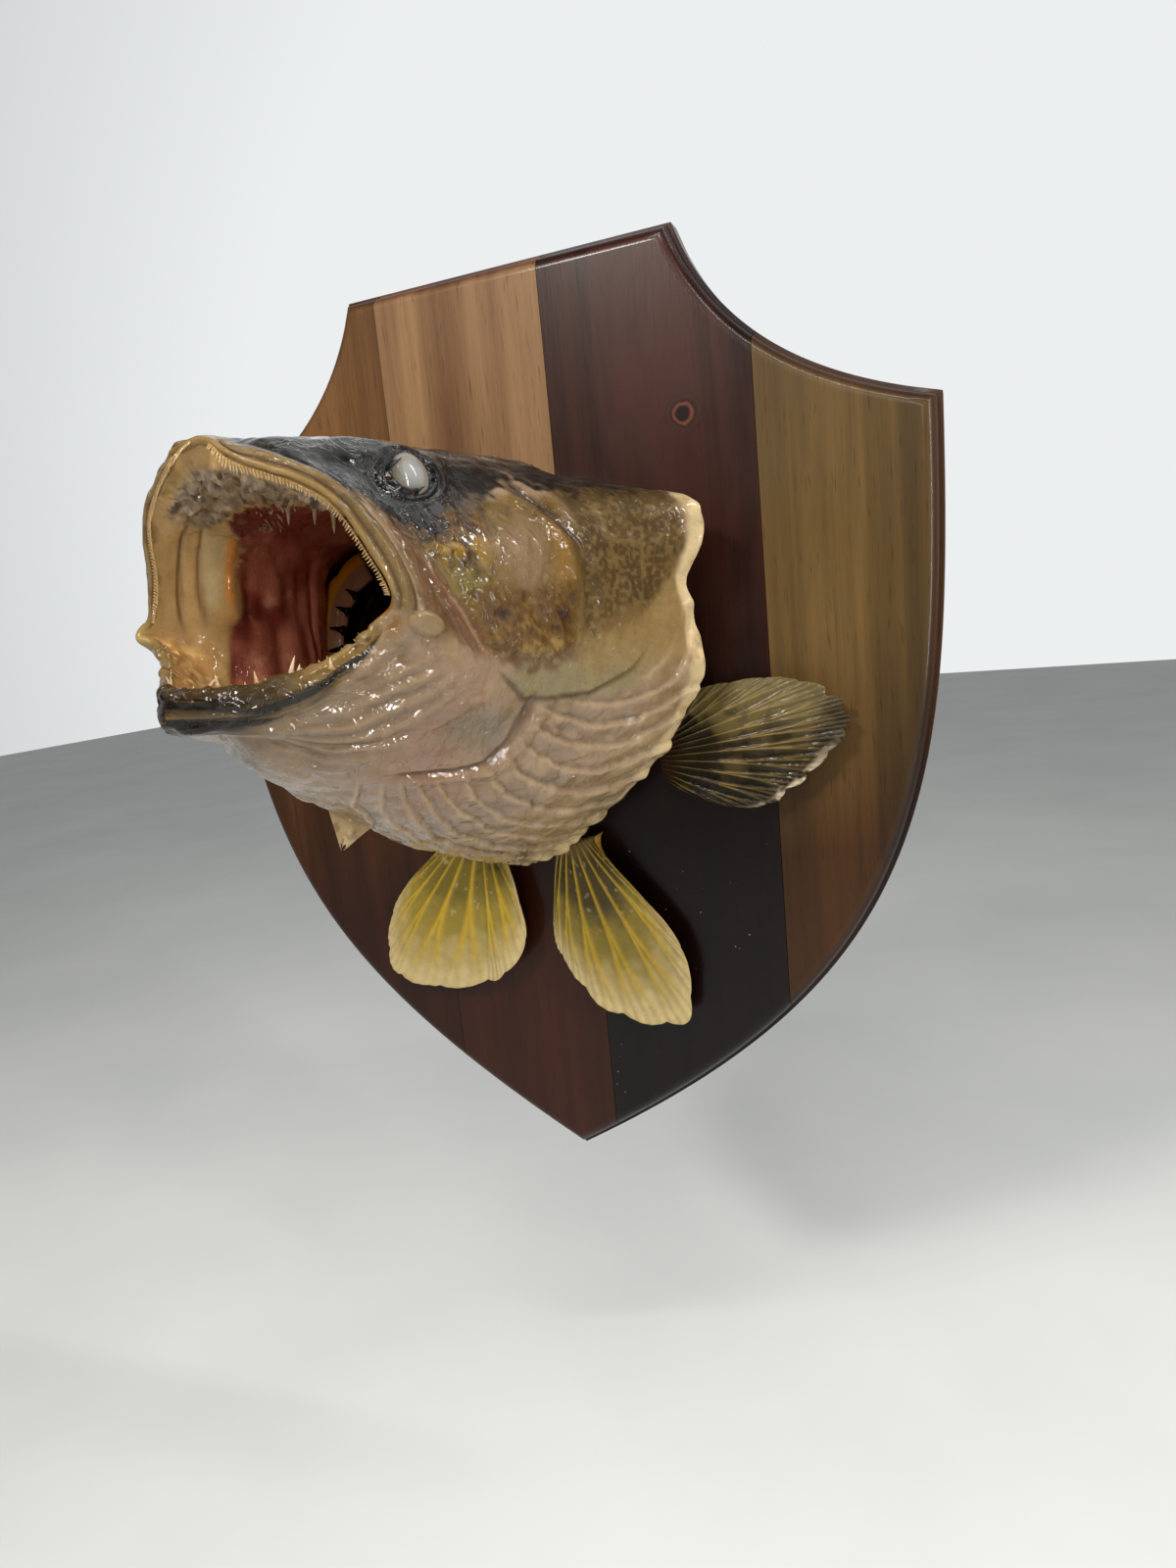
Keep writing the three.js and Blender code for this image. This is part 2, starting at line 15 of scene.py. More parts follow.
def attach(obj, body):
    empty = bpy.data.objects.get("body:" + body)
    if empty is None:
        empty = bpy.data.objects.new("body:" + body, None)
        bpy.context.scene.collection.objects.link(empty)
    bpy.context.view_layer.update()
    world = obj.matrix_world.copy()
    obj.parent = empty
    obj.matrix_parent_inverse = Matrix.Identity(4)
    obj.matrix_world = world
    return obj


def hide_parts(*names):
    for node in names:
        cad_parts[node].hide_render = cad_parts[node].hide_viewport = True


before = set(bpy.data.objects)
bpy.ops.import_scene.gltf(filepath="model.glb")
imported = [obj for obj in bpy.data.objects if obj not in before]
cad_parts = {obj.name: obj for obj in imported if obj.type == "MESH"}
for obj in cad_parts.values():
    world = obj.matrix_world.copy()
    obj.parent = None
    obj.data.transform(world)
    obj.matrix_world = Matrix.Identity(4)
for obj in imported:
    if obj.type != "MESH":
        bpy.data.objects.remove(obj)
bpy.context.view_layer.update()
MM = 0.001

# ------------------------------------------------------------------ sizes shared with the solids

NAPE_Y = -19.4
HEAD_TURN = 9 / 220
BOARD_FRONT = 19.0
RIGHT_SPREAD = np.array([0, 0.02, 0.05, 0.13, 0.22, 0.33, 0.5, 0.48, 0.12, 0])
RIGHT_LIFT = np.array([0, 6, 4, 2, 0, 0, 0, 0, 0, 0])
RAILS = np.array([
    [[0, -244, 140.5], [0, -230, 141.5], [0, -190, 144], [0, -150, 147], [0, -105, 150], [0, -64, 153],
        [0, NAPE_Y, 155]],
    [[14, -245, 131], [13, -237, 137], [31, -186, 141], [30, -150, 140], [29, -105, 143], [31, -62, 142],
        [37, NAPE_Y, 136]],
    [[31, -238, 123], [31, -231, 129], [43, -190, 118], [46, -150, 122], [58, -108, 125], [79, -78, 125],
        [106, -50, 121]],
    [[41, -231, 114], [44, -225, 118], [49, -192, 103], [57, -155, 104], [72, -112, 104], [90, -78, 103],
        [114, -50, 104]],
    [[46, -223, 98], [52, -217, 102], [56, -190, 85], [62, -157, 84], [75, -115, 84], [90, -80, 80],
        [107, -50, 81]],
    [[50, -217, 81], [56, -210, 79], [61, -187, 64], [67, -158, 60], [76, -120, 59], [91, -82, 58], [108, -50, 57]],
    [[43, -219, 72], [49, -213, 63], [57, -190, 46], [61, -160, 37], [71, -122, 31], [89, -84, 30], [108, -50, 33]],
    [[33, -233, 61], [34, -229, 50], [41, -203, 29], [45, -170, 14], [54, -132, 2], [70, -90, -6], [87, -50, -4]],
    [[22, -257, 54], [20, -250, 41], [25, -220, 21], [27, -185, 2], [31, -145, -19], [38, -98, -35],
        [45, -50, -42]],
    [[0, -277, 56], [0, -275, 42], [0, -238, 23], [0, -197, 0], [0, -150, -27], [0, -103, -48], [0, -50, -66]],
], float)
# The mouth's lining at six depths behind the lip: panel, front of the wall, middle, back of the
# wall, pocket and gullet. Each point is [half width, y, z].
LINING = np.array([
    [[0, -229, 126], [0, -206, 121], [0, -172, 119], [0, -143, 113], [0, -118, 108], [0, -78, 84]],
    [[14, -228, 121], [14, -206, 120], [15, -170, 118], [15, -143, 112], [15, -118, 106], [10, -78, 84]],
    [[27, -224, 117], [27, -204, 116], [28, -168, 114], [29, -143, 108], [31, -118, 102], [18, -78, 80]],
    [[38, -218, 109], [35, -199, 108], [36, -165, 106], [38, -143, 100], [43, -118, 94], [24, -78, 74]],
    [[44.5, -212, 96], [40, -197, 92], [39.5, -165, 90], [41, -143, 86], [51, -118, 80], [26, -78, 66]],
    [[47, -207, 79], [42, -192, 75], [41, -163, 73], [43, -143, 68], [53, -118, 63], [26, -78, 56]],
    [[39, -210, 65], [40, -193, 54], [40, -163, 46], [42, -143, 42], [49, -118, 40], [22, -78, 48]],
    [[25, -221, 50], [27, -197, 36], [29, -163, 26], [31, -143, 23], [34, -118, 26], [15, -78, 42]],
    [[13, -240, 45], [13, -206, 30], [14, -165, 17], [14, -143, 14], [15, -118, 18], [8, -78, 38]],
    [[0, -257, 44], [0, -212, 28], [0, -165, 14], [0, -143, 11], [0, -118, 15], [0, -78, 36]],
], float)
EYE_RAIL, EYE_STATION, EYE_SINK, EYE_RADIUS = 1.59, 2.16, 10.0, 12.6
EYE_TURN = np.array([0.27, -0.46, -0.08])  # the eyes look a little forward of the skin's own normal

# ------------------------------------------------------------------ numbers

FAR = 99.0  # millimetres: beyond anything that matters
GRADE = np.array([0.80, 0.66, 0.49])  # warm light reflected by old varnish, over every painted colour


def clamp(x, lo=0.0, hi=1.0):
    return np.clip(x, lo, hi)


def smooth(x, lo, hi):
    """0 up to lo, 1 from hi on, with a soft step between."""
    t = clamp((x - lo) / (hi - lo))
    return t * t * (3 - 2 * t)


def fall(x, lo, hi):
    """1 up to lo, 0 from hi on."""
    return 1 - smooth(x, lo, hi)


def bell(x, middle, width):
    return np.exp(-(((x - middle) / width) ** 2))


def band(x, lo, hi, soft):
    return smooth(x, lo - soft, lo + soft) * fall(x, hi - soft, hi + soft)


def unit(v):
    return v / np.linalg.norm(v, axis=-1, keepdims=True)


def turns(count):
    """Angles evenly round a circle."""
    return np.linspace(0, 2 * np.pi, count, endpoint=False)


def hashed(ix, iy, iz, seed):
    """A repeatable random number from -1 to 1 for each whole-numbered cell."""
    h = ix.astype(np.uint32) * np.uint32(374761393) + iy.astype(np.uint32) * np.uint32(668265263)
    h = h + iz.astype(np.uint32) * np.uint32(2246822519) + np.uint32(seed * 3266489917 % 4294967296)
    h = (h ^ (h >> np.uint32(13))) * np.uint32(1274126177)
    h = h ^ (h >> np.uint32(16))
    return h.astype(np.float64) / 4294967295.0 * 2 - 1


def noise(p, size, seed=0):
    """Smooth noise from -1 to 1 with features of about size, at points p."""
    q = p / size + 57.3
    cell = np.floor(q).astype(np.int64)
    f = q - cell
    f = f * f * f * (f * (f * 6 - 15) + 10)
    total = 0.0
    for corner in np.ndindex(2, 2, 2):
        x, y, z = (f[..., i] if step else 1 - f[..., i] for i, step in enumerate(corner))
        total = total + x * y * z * hashed(*(cell[..., i] + step for i, step in enumerate(corner)), seed)
    return total


def line_noise(x, size, seed):
    """Noise along one coordinate."""
    return noise(np.stack([x, x * 0, x * 0], -1), size, seed)


def fractal(p, size, octaves=3, seed=0):
    total, share, weight = 0.0, 1.0, 0.0
    for i in range(octaves):
        total = total + share * noise(p, size / 2**i, seed + 11 * i)
        weight += share
        share *= 0.55
    return total / weight * 1.6


def ridged(p, size, octaves=2, seed=0):
    """Creased noise: 1 along thin winding lines and near 0 between them."""
    return clamp(1 - 2.6 * np.abs(fractal(p, size, octaves, seed)))


def colour(code):
    """The linear colour of a hexadecimal sRGB code."""
    value = np.array([int(code[i : i + 2], 16) / 255 for i in (0, 2, 4)])
    return np.where(value <= 0.04045, value / 12.92, ((value + 0.055) / 1.055) ** 2.4)


class Paint:
    """Colours at points, laid over each other by masks."""

    def __init__(self, count, code):
        self.rgb = np.tile(colour(code), (count, 1))

    def lay(self, code, mask):
        m = clamp(mask)[:, None]
        self.rgb = self.rgb * (1 - m) + colour(code) * m


# ------------------------------------------------------------------ meshes and materials


def mesh_object(name, points, faces, **layers):
    """A smooth mesh from points in millimetres, with layers: three columns are a colour, one is a number."""
    points = np.asarray(points, float)
    mesh = bpy.data.meshes.new(name)
    if isinstance(faces, np.ndarray):
        starts = np.arange(0, faces.size, faces.shape[1], dtype=np.int32)
        mesh.vertices.add(len(points))
        mesh.vertices.foreach_set("co", (points * MM).ravel())
        mesh.loops.add(faces.size)
        mesh.loops.foreach_set("vertex_index", faces.ravel().astype(np.int32))
        mesh.polygons.add(len(faces))
        mesh.polygons.foreach_set("loop_start", starts)
        mesh.polygons.foreach_set("loop_total", np.full_like(starts, faces.shape[1]))
        mesh.update(calc_edges=True)
        mesh.validate()
    else:
        mesh.from_pydata([tuple(p) for p in points * MM], [], faces)
        mesh.update()
    for layer, values in layers.items():
        if values.ndim == 2:
            attribute = mesh.attributes.new(layer, "FLOAT_COLOR", "POINT")
            rgba = np.ones((len(points), 4))
            rgba[:, :3] = values * GRADE
            attribute.data.foreach_set("color", rgba.ravel())
        else:
            attribute = mesh.attributes.new(layer, "FLOAT", "POINT")
            attribute.data.foreach_set("value", values.ravel())
    mesh.polygons.foreach_set("use_smooth", np.ones(len(mesh.polygons), bool))
    piece = bpy.data.objects.new(name, mesh)
    bpy.context.scene.collection.objects.link(piece)
    return piece


def weld(piece, distance=0.00002):
    bm = bmesh.new()
    bm.from_mesh(piece.data)
    bmesh.ops.remove_doubles(bm, verts=bm.verts, dist=distance)
    bm.to_mesh(piece.data)
    bm.free()


def painted_piece(name, points, faces, rgb, wet):
    """A welded mesh with its colours, and its wetness as one number or one for each point."""
    piece = mesh_object(name, points, faces, paint=rgb, wet=np.zeros(len(points)) + wet)
    weld(piece)
    return piece


def grid_faces(rows, columns):
    """Quads between rows of points that close on themselves."""
    r, c = np.meshgrid(np.arange(rows - 1), np.arange(columns), indexing="ij")
    a = r * columns + c
    b = r * columns + (c + 1) % columns
    return np.stack([a, b, b + columns, a + columns], -1).reshape(-1, 4)


def turned_out(points, faces):
    """The faces, reversed where the form that they close is inside out."""
    a, b, c, d = (points[faces[:, i]] for i in range(4))
    total = np.einsum("ij,ij->i", a, np.cross(b, c)).sum() + np.einsum("ij,ij->i", a, np.cross(c, d)).sum()
    return faces if total > 0 else faces[:, ::-1]


def tube(p):
    """The points and outward faces of rows of closed rings."""
    flat = p.reshape(-1, 3)
    return flat, turned_out(flat - flat.mean(0), grid_faces(*p.shape[:2]))


def capped(p, first, last):
    """Rings closed at both ends by rings shrunk to a point."""
    shape = (1, p.shape[1], 3)
    return np.concatenate([np.broadcast_to(first, shape), p, np.broadcast_to(last, shape)])


class Shader:
    """A short way to write a node material."""

    def __init__(self, name):
        self.material = bpy.data.materials.new(name)
        self.material.use_nodes = True
        self.nodes = self.material.node_tree.nodes
        self.links = self.material.node_tree.links
        self.surface = self.nodes["Principled BSDF"]
        self.place = self.node("ShaderNodeTexCoord").outputs["Object"]

    def node(self, kind, **values):
        made = self.nodes.new(kind)
        for key, value in values.items():
            if key in made.bl_rna.properties:
                setattr(made, key, value)
            else:
                self.put(made.inputs[key.replace("_", " ")], value)
        return made

    def put(self, socket, value):
        if isinstance(value, bpy.types.NodeSocket):
            self.links.new(value, socket)
        else:
            socket.default_value = value

    def attribute(self, name, output="Color"):
        return self.node("ShaderNodeAttribute", attribute_name=name).outputs[output]

    def noise(self, scale, detail=4.0, roughness=0.55, stretch=None, distortion=0.0):
        place = self.place
        if stretch:
            place = self.node("ShaderNodeMapping", Scale=stretch, Vector=place).outputs["Vector"]
        looks = dict(Scale=scale, Detail=detail, Roughness=roughness, Distortion=distortion)
        return self.node("ShaderNodeTexNoise", Vector=place, **looks).outputs["Fac"]

    def math(self, operation, a, b=0.0, clip=False):
        made = self.node("ShaderNodeMath", operation=operation, use_clamp=clip)
        self.put(made.inputs[0], a)
        self.put(made.inputs[1], b)
        return made.outputs[0]

    def ramp(self, value, stops):
        made = self.node("ShaderNodeValToRGB", Fac=value)
        elements = made.color_ramp.elements
        while len(elements) < len(stops):
            elements.new(0.5)
        for element, (position, code) in zip(elements, stops):
            element.position = position
            rgb = colour(code) if isinstance(code, str) else [code] * 3
            element.color = (*rgb, 1)
        return made.outputs["Color"]

    def span(self, value, from_low, from_high, low, high):
        return self.node(
            "ShaderNodeMapRange", Value=value, From_Min=from_low, From_Max=from_high, To_Min=low, To_Max=high
        ).outputs["Result"]

    def mix(self, share, a, b, blend="MIX"):
        made = self.node("ShaderNodeMix", data_type="RGBA", blend_type=blend, clamp_factor=True)
        self.put(made.inputs[0], share)
        for index, value in ((6, a), (7, b)):
            self.put(made.inputs[index], (*colour(value), 1) if isinstance(value, str) else value)
        return made.outputs[2]

    def times(self, a, b):
        return self.mix(1.0, a, b, "MULTIPLY")

    def relief(self, socket, *layers):
        """Bumps on a normal socket from (height, strength, distance), the first one nearest the mesh."""
        below = {}
        for height, strength, distance in layers:
            made = self.node("ShaderNodeBump", Height=height, Strength=strength, Distance=distance, **below)
            below = {"Normal": made.outputs["Normal"]}
        self.put(self.surface.inputs[socket], made.outputs["Normal"])

    def set(self, **values):
        for key, value in values.items():
            self.put(self.surface.inputs[key.replace("_", " ")], value)
        return self.material


def painted_material(
    name, roughness, coat, fine=900.0, bump=0.25, scatter=0.05, tint=0.22, flow=0.0
):
    """Skin, bone or fin painted by its colour layer, with fine wrinkles, pores and uneven varnish."""
    s = Shader(name)
    speckle = s.noise(fine, 3, 0.6)
    toned = s.times(s.attribute("paint"), s.ramp(s.noise(160, 5, 0.62), [(0.25, 1 - tint), (0.75, 1.0)]))
    toned = s.mix(s.span(speckle, 0.55, 0.75, 0.0, 0.35), toned, s.times(toned, "b8a890"))
    wet = s.attribute("wet", "Fac")
    rough = s.span(s.noise(90, 4, 0.6), 0.3, 0.7, *roughness)
    rough = s.math("SUBTRACT", rough, s.math("MULTIPLY", wet, roughness[1] * 0.6), clip=True)
    s.relief("Normal", (s.noise(420, 5, 0.65), bump, 0.0006), (speckle, bump * 0.5, 0.0006))
    s.set(
        Base_Color=toned,
        Roughness=rough,
        Coat_Weight=coat,
        Coat_Roughness=0.03,
        Coat_IOR=1.5,
        Specular_IOR_Level=0.08,
        Subsurface_Weight=scatter,
        Subsurface_Radius=(0.004, 0.0018, 0.001),
        Subsurface_Scale=1.0,
    )
    if flow:  # the varnish lies in its own soft runs, ripples and winding ridges, and is thin where the skin is dry
        ridge = s.math("ABSOLUTE", s.math("SUBTRACT", s.noise(75, 3, 0.55, distortion=0.9), 0.5))
        s.relief(
            "Coat Normal",
            (s.noise(85, 3, 0.5, distortion=0.6), flow, 0.0013),
            (s.noise(330, 2, 0.5), flow, 0.0001),
            (s.span(ridge, 0.0, 0.035, 1.0, 0.0), flow, 0.0005),
        )
        s.set(Coat_Weight=s.span(wet, 0.0, 1.0, 0.08 * coat, coat))
    return s.material


# ------------------------------------------------------------------ head surface

FLIP = np.array([-1.0, 1, 1])
KEEL, RIM = 9, 6  # the last rail and the last station
OVAL_MIDDLE = np.array([48.3, -206.4, 70.2])
OVAL_LONG = np.array([0.9236, 0.3719, -0.0930]) / 6.2
OVAL_SHORT = np.array([0.0206, 0.1941, 0.9808]) / 4.5
EYE_REACH = 22  # millimetres along the eye's axis within which its lids are shaped


def weights(t):
    """The four weights of a Catmull-Rom curve."""
    t2, t3 = t * t, t * t * t
    return 0.5 * np.stack([-t + 2 * t2 - t3, 2 - 5 * t2 + 3 * t3, t + 4 * t2 - 3 * t3, -t2 + t3], -1)


def extended(table, axis):
    """A table with one more row at each end, in line with the rows before."""
    first, second, last_but_one, last = (np.take(table, [i], axis) for i in (0, 1, -2, -1))
    return np.concatenate([2 * first - second, table, 2 * last - last_but_one], axis)


def netted(net, rail, station):
    """A Catmull-Rom surface over a net of rails by stations, mirrored at both midlines."""
    table = extended(np.concatenate([net[1:2] * FLIP, net, net[-2:-1] * FLIP], 0), 1)
    i = np.clip(np.floor(rail), 0, net.shape[0] - 2).astype(int)
    j = np.clip(np.floor(station), 0, net.shape[1] - 2).astype(int)
    wr, ws = weights(rail - i), weights(station - j)
    total = 0.0
    for a, b in np.ndindex(4, 4):
        total = total + (wr[..., a] * ws[..., b])[..., None] * table[i + a, j + b]
    return total


def median(y):
    """The x of the head's own middle plane."""
    return -HEAD_TURN * np.maximum(NAPE_Y - y, 0)


def placed(side, p, rail, front):
    """Points of the half net on their side, the front of the right one spread and lifted."""
    rails = np.arange(10)
    x = median(p[..., 1]) + side * p[..., 0] * (1 + front * np.interp(rail, rails, RIGHT_SPREAD))
    return np.stack([x, p[..., 1], p[..., 2] + front * np.interp(rail, rails, RIGHT_LIFT)], -1)


def bare_skin(side, rail, station):
    side, rail, station = np.broadcast_arrays(*(np.asarray(v, float) for v in (side, rail, station)))
    front = np.where(side < 0, clamp(1 - station / 5) ** 1.5, 0)
    return placed(side, netted(RAILS, rail, station), rail, front)


def outward(side, rail, station, step=0.05):
    r0, r1 = np.maximum(rail - step, 0), np.minimum(rail + step, KEEL)
    s0, s1 = np.maximum(station - step, 0), np.minimum(station + step, RIM)
    down = bare_skin(side, r1, station) - bare_skin(side, r0, station)
    back = bare_skin(side, rail, s1) - bare_skin(side, rail, s0)
    return unit(np.cross(down, back) * side)


def eye_axis(side):
    out = outward(side, EYE_RAIL, EYE_STATION) + EYE_TURN * np.array([side, 1, 1])
    return bare_skin(side, EYE_RAIL, EYE_STATION), unit(out)


def rim_station(rail):
    return RIM - 0.12 * bell(rail, 4.1, 0.35) - 0.1 * bell(rail, 7.35, 0.12)


# Lines on the head that both its forms and its colours follow.


def fringe_rail(station, p):
    """The ragged lower fringe of the cheek."""
    return np.interp(station, [2.0, 2.4, 3.0, 3.5, 4.0], [4.9, 5.1, 5.28, 5.28, 5.1]) + 0.12 * noise(p, 4.0, 14)


def cheek_end(rail):
    """The station of the cheek's back edge."""
    return np.interp(rail, [1.8, 2.4, 3.2, 4.0, 4.8, 5.1, 5.35], [3.35, 3.6, 3.9, 3.98, 4.0, 3.85, 3.5])


def plate_rail(station):
    """The lower edge of the smooth plate under the cheek."""
    return np.interp(station, [2.6, 3.2, 4.2, 4.8, 5.3, 5.6], [5.5, 5.95, 5.87, 5.6, 5.05, 4.7])


def slant(rail):
    """The station of the panel that slants back from the corner of the mouth."""
    return np.interp(rail, [3.6, 4.2, 4.8, 5.3], [1.5, 1.72, 1.95, 2.25])


def gular(rail, station, width, soft):
    """The hollow in front of the crease where the rays start."""
    return bell(rail, 6.55, width) * band(station, 2.35 - 0.5 * (rail - 6.5), 3.3, soft)


def front_folds(rail, station, p):
    """Waves from -1 to 1 of the long folds that run from the jaw back to the cheek's lower corner."""
    wave = np.sin((rail + 3.1 * station) * 2 * np.pi * 1.3 + 3.5 * noise(p, 24, 16))
    return wave * band(rail, 5.9, 8.6, 0.4) * bell(station, 1.6, 0.5)


def lip_lines(station, p):
    """The station, wandering a little, for the lengthways lines of the lip bone."""
    return station + 0.06 * noise(p, 14, 18)


def rays_fan(rail, station, p):
    """Branchiostegal rays: their first station, the fan's coordinate, the share across a ray, its random number."""
    base = np.interp(rail, [5.9, 6.7, 7.0, 7.3, 7.7, 8.2, 8.8], [3.4, 3.4, 3.3, 3.0, 2.6, 2.4, 2.2])
    lift = np.interp(rail, [4.6, 6.0, 7.5], [1.2, 0.32, 0.0]) * clamp((station - 4.2) / 1.4, 0, 1.2) ** 1.6
    dip = np.interp(rail, [7.0, 8.4], [0.5, 1.1]) * clamp(1 - (station - base) / 2.2) ** 2
    fan = rail + lift + dip + 0.035 * noise(p, 16, 3) + 0.02 * noise(p, 5, 4)
    phase = (fan - 5.95) * 3.7
    ray = np.floor(phase)
    return base, fan, phase - ray, line_noise(ray * 7.3, 5, 6)


def oval_plate(p):
    """The distance from the middle of the rounded plate behind the mouth's corner, 1 at its edge."""
    d = p - OVAL_MIDDLE
    return np.hypot(d @ OVAL_LONG, d @ OVAL_SHORT)


def slanted(p):
    """Points in a frame whose short axis crosses the bones under the eye."""
    return np.stack([p[..., 0], p[..., 1] * 0.8 + p[..., 2] * 0.6, (p[..., 2] * 0.8 - p[..., 1] * 0.6) * 0.3], -1)


def forms(rail, station, p):
    """Large and middle forms of the outer skin, in millimetres outwards."""
    end = cheek_end(rail)
    base, fan, across, own = rays_fan(rail, station, p)
    on_rays = smooth(station - base, 0.0, 0.5) * band(fan, 5.9, 9.4, 0.08) * smooth(fan, 5.8, 6.5)
    shingle = (1 - across**2) * smooth(across, 0.0, 0.16) - 0.45
    lip = band(rail, 0.4, 5.1, 0.3)
    lines = lip_lines(station, p)
    return (
        3.5 * bell(rail, 3.5, 1.1) * bell(station, 3.1, 0.75)  # the cheek, its back edge and the step behind it
        + 1.9 * bell(station, end, 0.12) * band(rail, 2.0, 4.3, 0.4)
        - 2.2 * bell(station, end + 0.24, 0.12) * band(rail, 2.0, 4.9, 0.3)
        # the cheek's lower fringe steps down on to the smooth plate below it, and that on to the membrane
        + 1.5 * smooth(fringe_rail(station, p) - rail, -0.02, 0.05) * smooth(rail, 4.2, 5.0)
        * band(station, 2.3, 4.0, 0.2)
        + 1.6 * smooth(plate_rail(station) - rail, -0.03, 0.04) * smooth(rail, 4.7, 5.5)
        * band(station, 2.8, 5.0, 0.2)
        # overlapping rays fan from the crease below the cheek and curl up at the rim
        + 3.0 * shingle * on_rays * (0.75 + 0.55 * own) * (0.8 + 0.4 * noise(p, 26, 5))
        - 2.2 * bell(station, base - 0.02, 0.07) * band(rail, 5.9, 7.9, 0.15)
        + 1.6 * bell(station, base + 0.2, 0.13) * band(rail, 6.0, 7.9, 0.2)
        - 1.6 * gular(rail, station, 0.33, 0.08)
        + 0.45 * front_folds(rail, station, p)
        - 10 * bell(station, 1.55, 0.3) * clamp((rail - 7.5) / 1.5)  # the notch behind the chin
        # lip bone: a groove behind it, and lengthways lines on it
        - bell(station, 1.0, 0.08) * lip
        + (0.4 * bell(lines, 0.14, 0.1) - 0.5 * bell(lines, 0.36, 0.07) + 0.3 * bell(lines, 0.66, 0.12)) * lip
        # the folds and the rounded plate behind the mouth's corner
        + 0.9 * bell(station, 1.3, 0.17) * band(rail, 2.8, 5.0, 0.3)
        - 1.3 * bell(station, slant(rail) - 0.12, 0.06) * band(rail, 3.4, 5.3, 0.3)
        + 1.2 * fall(oval_plate(p), 0.7, 1.05)
        # lower jaw, and the step between it and the throat
        + bell(station, 0.45, 0.35) * smooth(rail, 6.0, 7.0)
        - 1.6 * bell(station, 1.08, 0.1) * smooth(rail, 5.6, 6.4) * fall(rail, 7.8, 8.6)
    )


def wrinkles(rail, station, p):
    """Fine forms: glossy tubes on the cheek, stretched wrinkles on the throat, worm marks on the opercle."""
    stretched = p * np.array([0.6, 0.3, 1.0])
    throat = (fractal(stretched, 9, 3, 41) - 0.9 * ridged(stretched, 13, 2, 43)) * smooth(rail, 5.9, 6.3)
    return (
        3.0 * ridged(p, 10.5, 2, 21) * bell(rail, 3.6, 0.6) * bell(station, 2.2, 0.4)
        + 0.45 * ridged(p, 9.0, 2, 22) * band(rail, 2.5, 5.2, 0.3) * band(station, 2.2, 3.9, 0.4)
        + 0.5 * ridged(slanted(p), 7.5, 3, 25) * band(rail, 2.7, 5.2, 0.3) * band(station, 1.1, 2.1, 0.15)
        + 0.16 * fractal(p, 2.3, 2, 31) * band(rail, 2.0, 4.9, 0.3) * band(station, 4.15, 5.7, 0.15)
        + 0.9 * throat * (1 - 0.8 * bell(rail, 6.55, 0.3) * bell(station, 2.8, 0.35))
        + fractal(p * np.array([1, 0.4, 1]), 13, 3, 51) * fall(rail, 1.4, 2.4)
        + 0.5 * ridged(p * np.array([0.6, 0.4, 1]), 6, 2, 61) * fall(station, 0.9, 1.2) * smooth(rail, 5.6, 6.5)
        + 1.2 * clamp(fractal(p, 7, 2, 63)) * smooth(rail, 8.0, 8.6) * fall(station, 0.8, 1.4)
        + 0.5 * fractal(p, 14, 3, 71)
    )


def orbit(p):
    """The eye's crater and its wrinkled lids: (millimetres outwards, distance from the nearer eye's axis)."""
    total, nearest = 0.0, FAR
    wobble = 0.35 * noise(p, 5, 91)
    for side in (1, -1):
        centre, out = eye_axis(side)
        d = p - centre
        level = unit(np.cross(out, [0, 0, 1.0]))
        length = side * (d @ level)  # the opening is a little longer along the head, and leans back
        high = d @ np.cross(level, out)
        r = np.hypot(0.8 * length + 0.26 * high, 1.2 * high + 0.12 * length)
        r = np.where(np.abs(d @ out) < EYE_REACH, r, FAR)
        w = r + wobble
        total = total - 4.2 * fall(r, 6.4, 7.8)
        total = total + 1.4 * bell(w, 8.2, 0.8) - 1.3 * bell(w, 10.4, 0.9)
        total = total + 0.9 * bell(w, 12.2, 0.9) - 0.9 * bell(r, 14.2, 0.9) + 0.6 * bell(w, 16.2, 1.1)
        nearest = np.minimum(nearest, r)
    return total, nearest


def grid_normals(p):
    """Normals of rows of closed rings."""
    n = np.cross(np.roll(p, -1, 1) - np.roll(p, 1, 1), np.gradient(p, axis=0))
    return n / np.maximum(np.linalg.norm(n, axis=-1, keepdims=True), 1e-9)


def skin_normals(p, base):
    """The skin's normals, turned outwards by its middle ring."""
    n = grid_normals(p)
    ring = OUTER_ROWS // 2
    return -n if (n[ring] * (base[ring] - base[ring].mean(0))).sum() < 0 else n


# ------------------------------------------------------------------ the skin

COLUMNS = 540
OUTER_ROWS = 290
INNER_ROWS = 46  # of the gill covers' inner face, over the last INNER_REACH outer rows
INNER_REACH = 60
LINING_ROWS = 110
LINING_SHARES = (1.0, 0.35, 0, 0, 0, 0)  # how far each depth of the lining follows the right corner's spread
ROLL_ROWS = 6
INSIDE, MARGIN, OUTER, LIP, LINED = range(5)  # the zones of its rows; the gullet's end comes after LINED
COVER_EDGE = 1.6  # thickness of the gill covers at their rim


def lip_thickness(rail):
    return np.interp(rail, [0, 5.0, 5.4, 6.0, 7.0, 8.4, 9.0], [3.2, 3.0, 3.0, 4.2, 5.5, 6.0, 6.0])


def roll(edge, normal, ahead, thickness):
    """Half a round from the outer face to the inner one."""
    rows = []
    for turn in np.linspace(0, np.pi, ROLL_ROWS + 2)[1:-1]:
        reach = normal * math.cos(turn) + ahead * math.sin(turn) * 0.8
        rows.append(edge - normal * thickness / 2 + reach * thickness / 2)
    return np.array(rows)


def before_wall(p):
    """Points kept in front of the neck's cut."""
    p[..., 1] = np.minimum(p[..., 1], NAPE_Y)
    return p


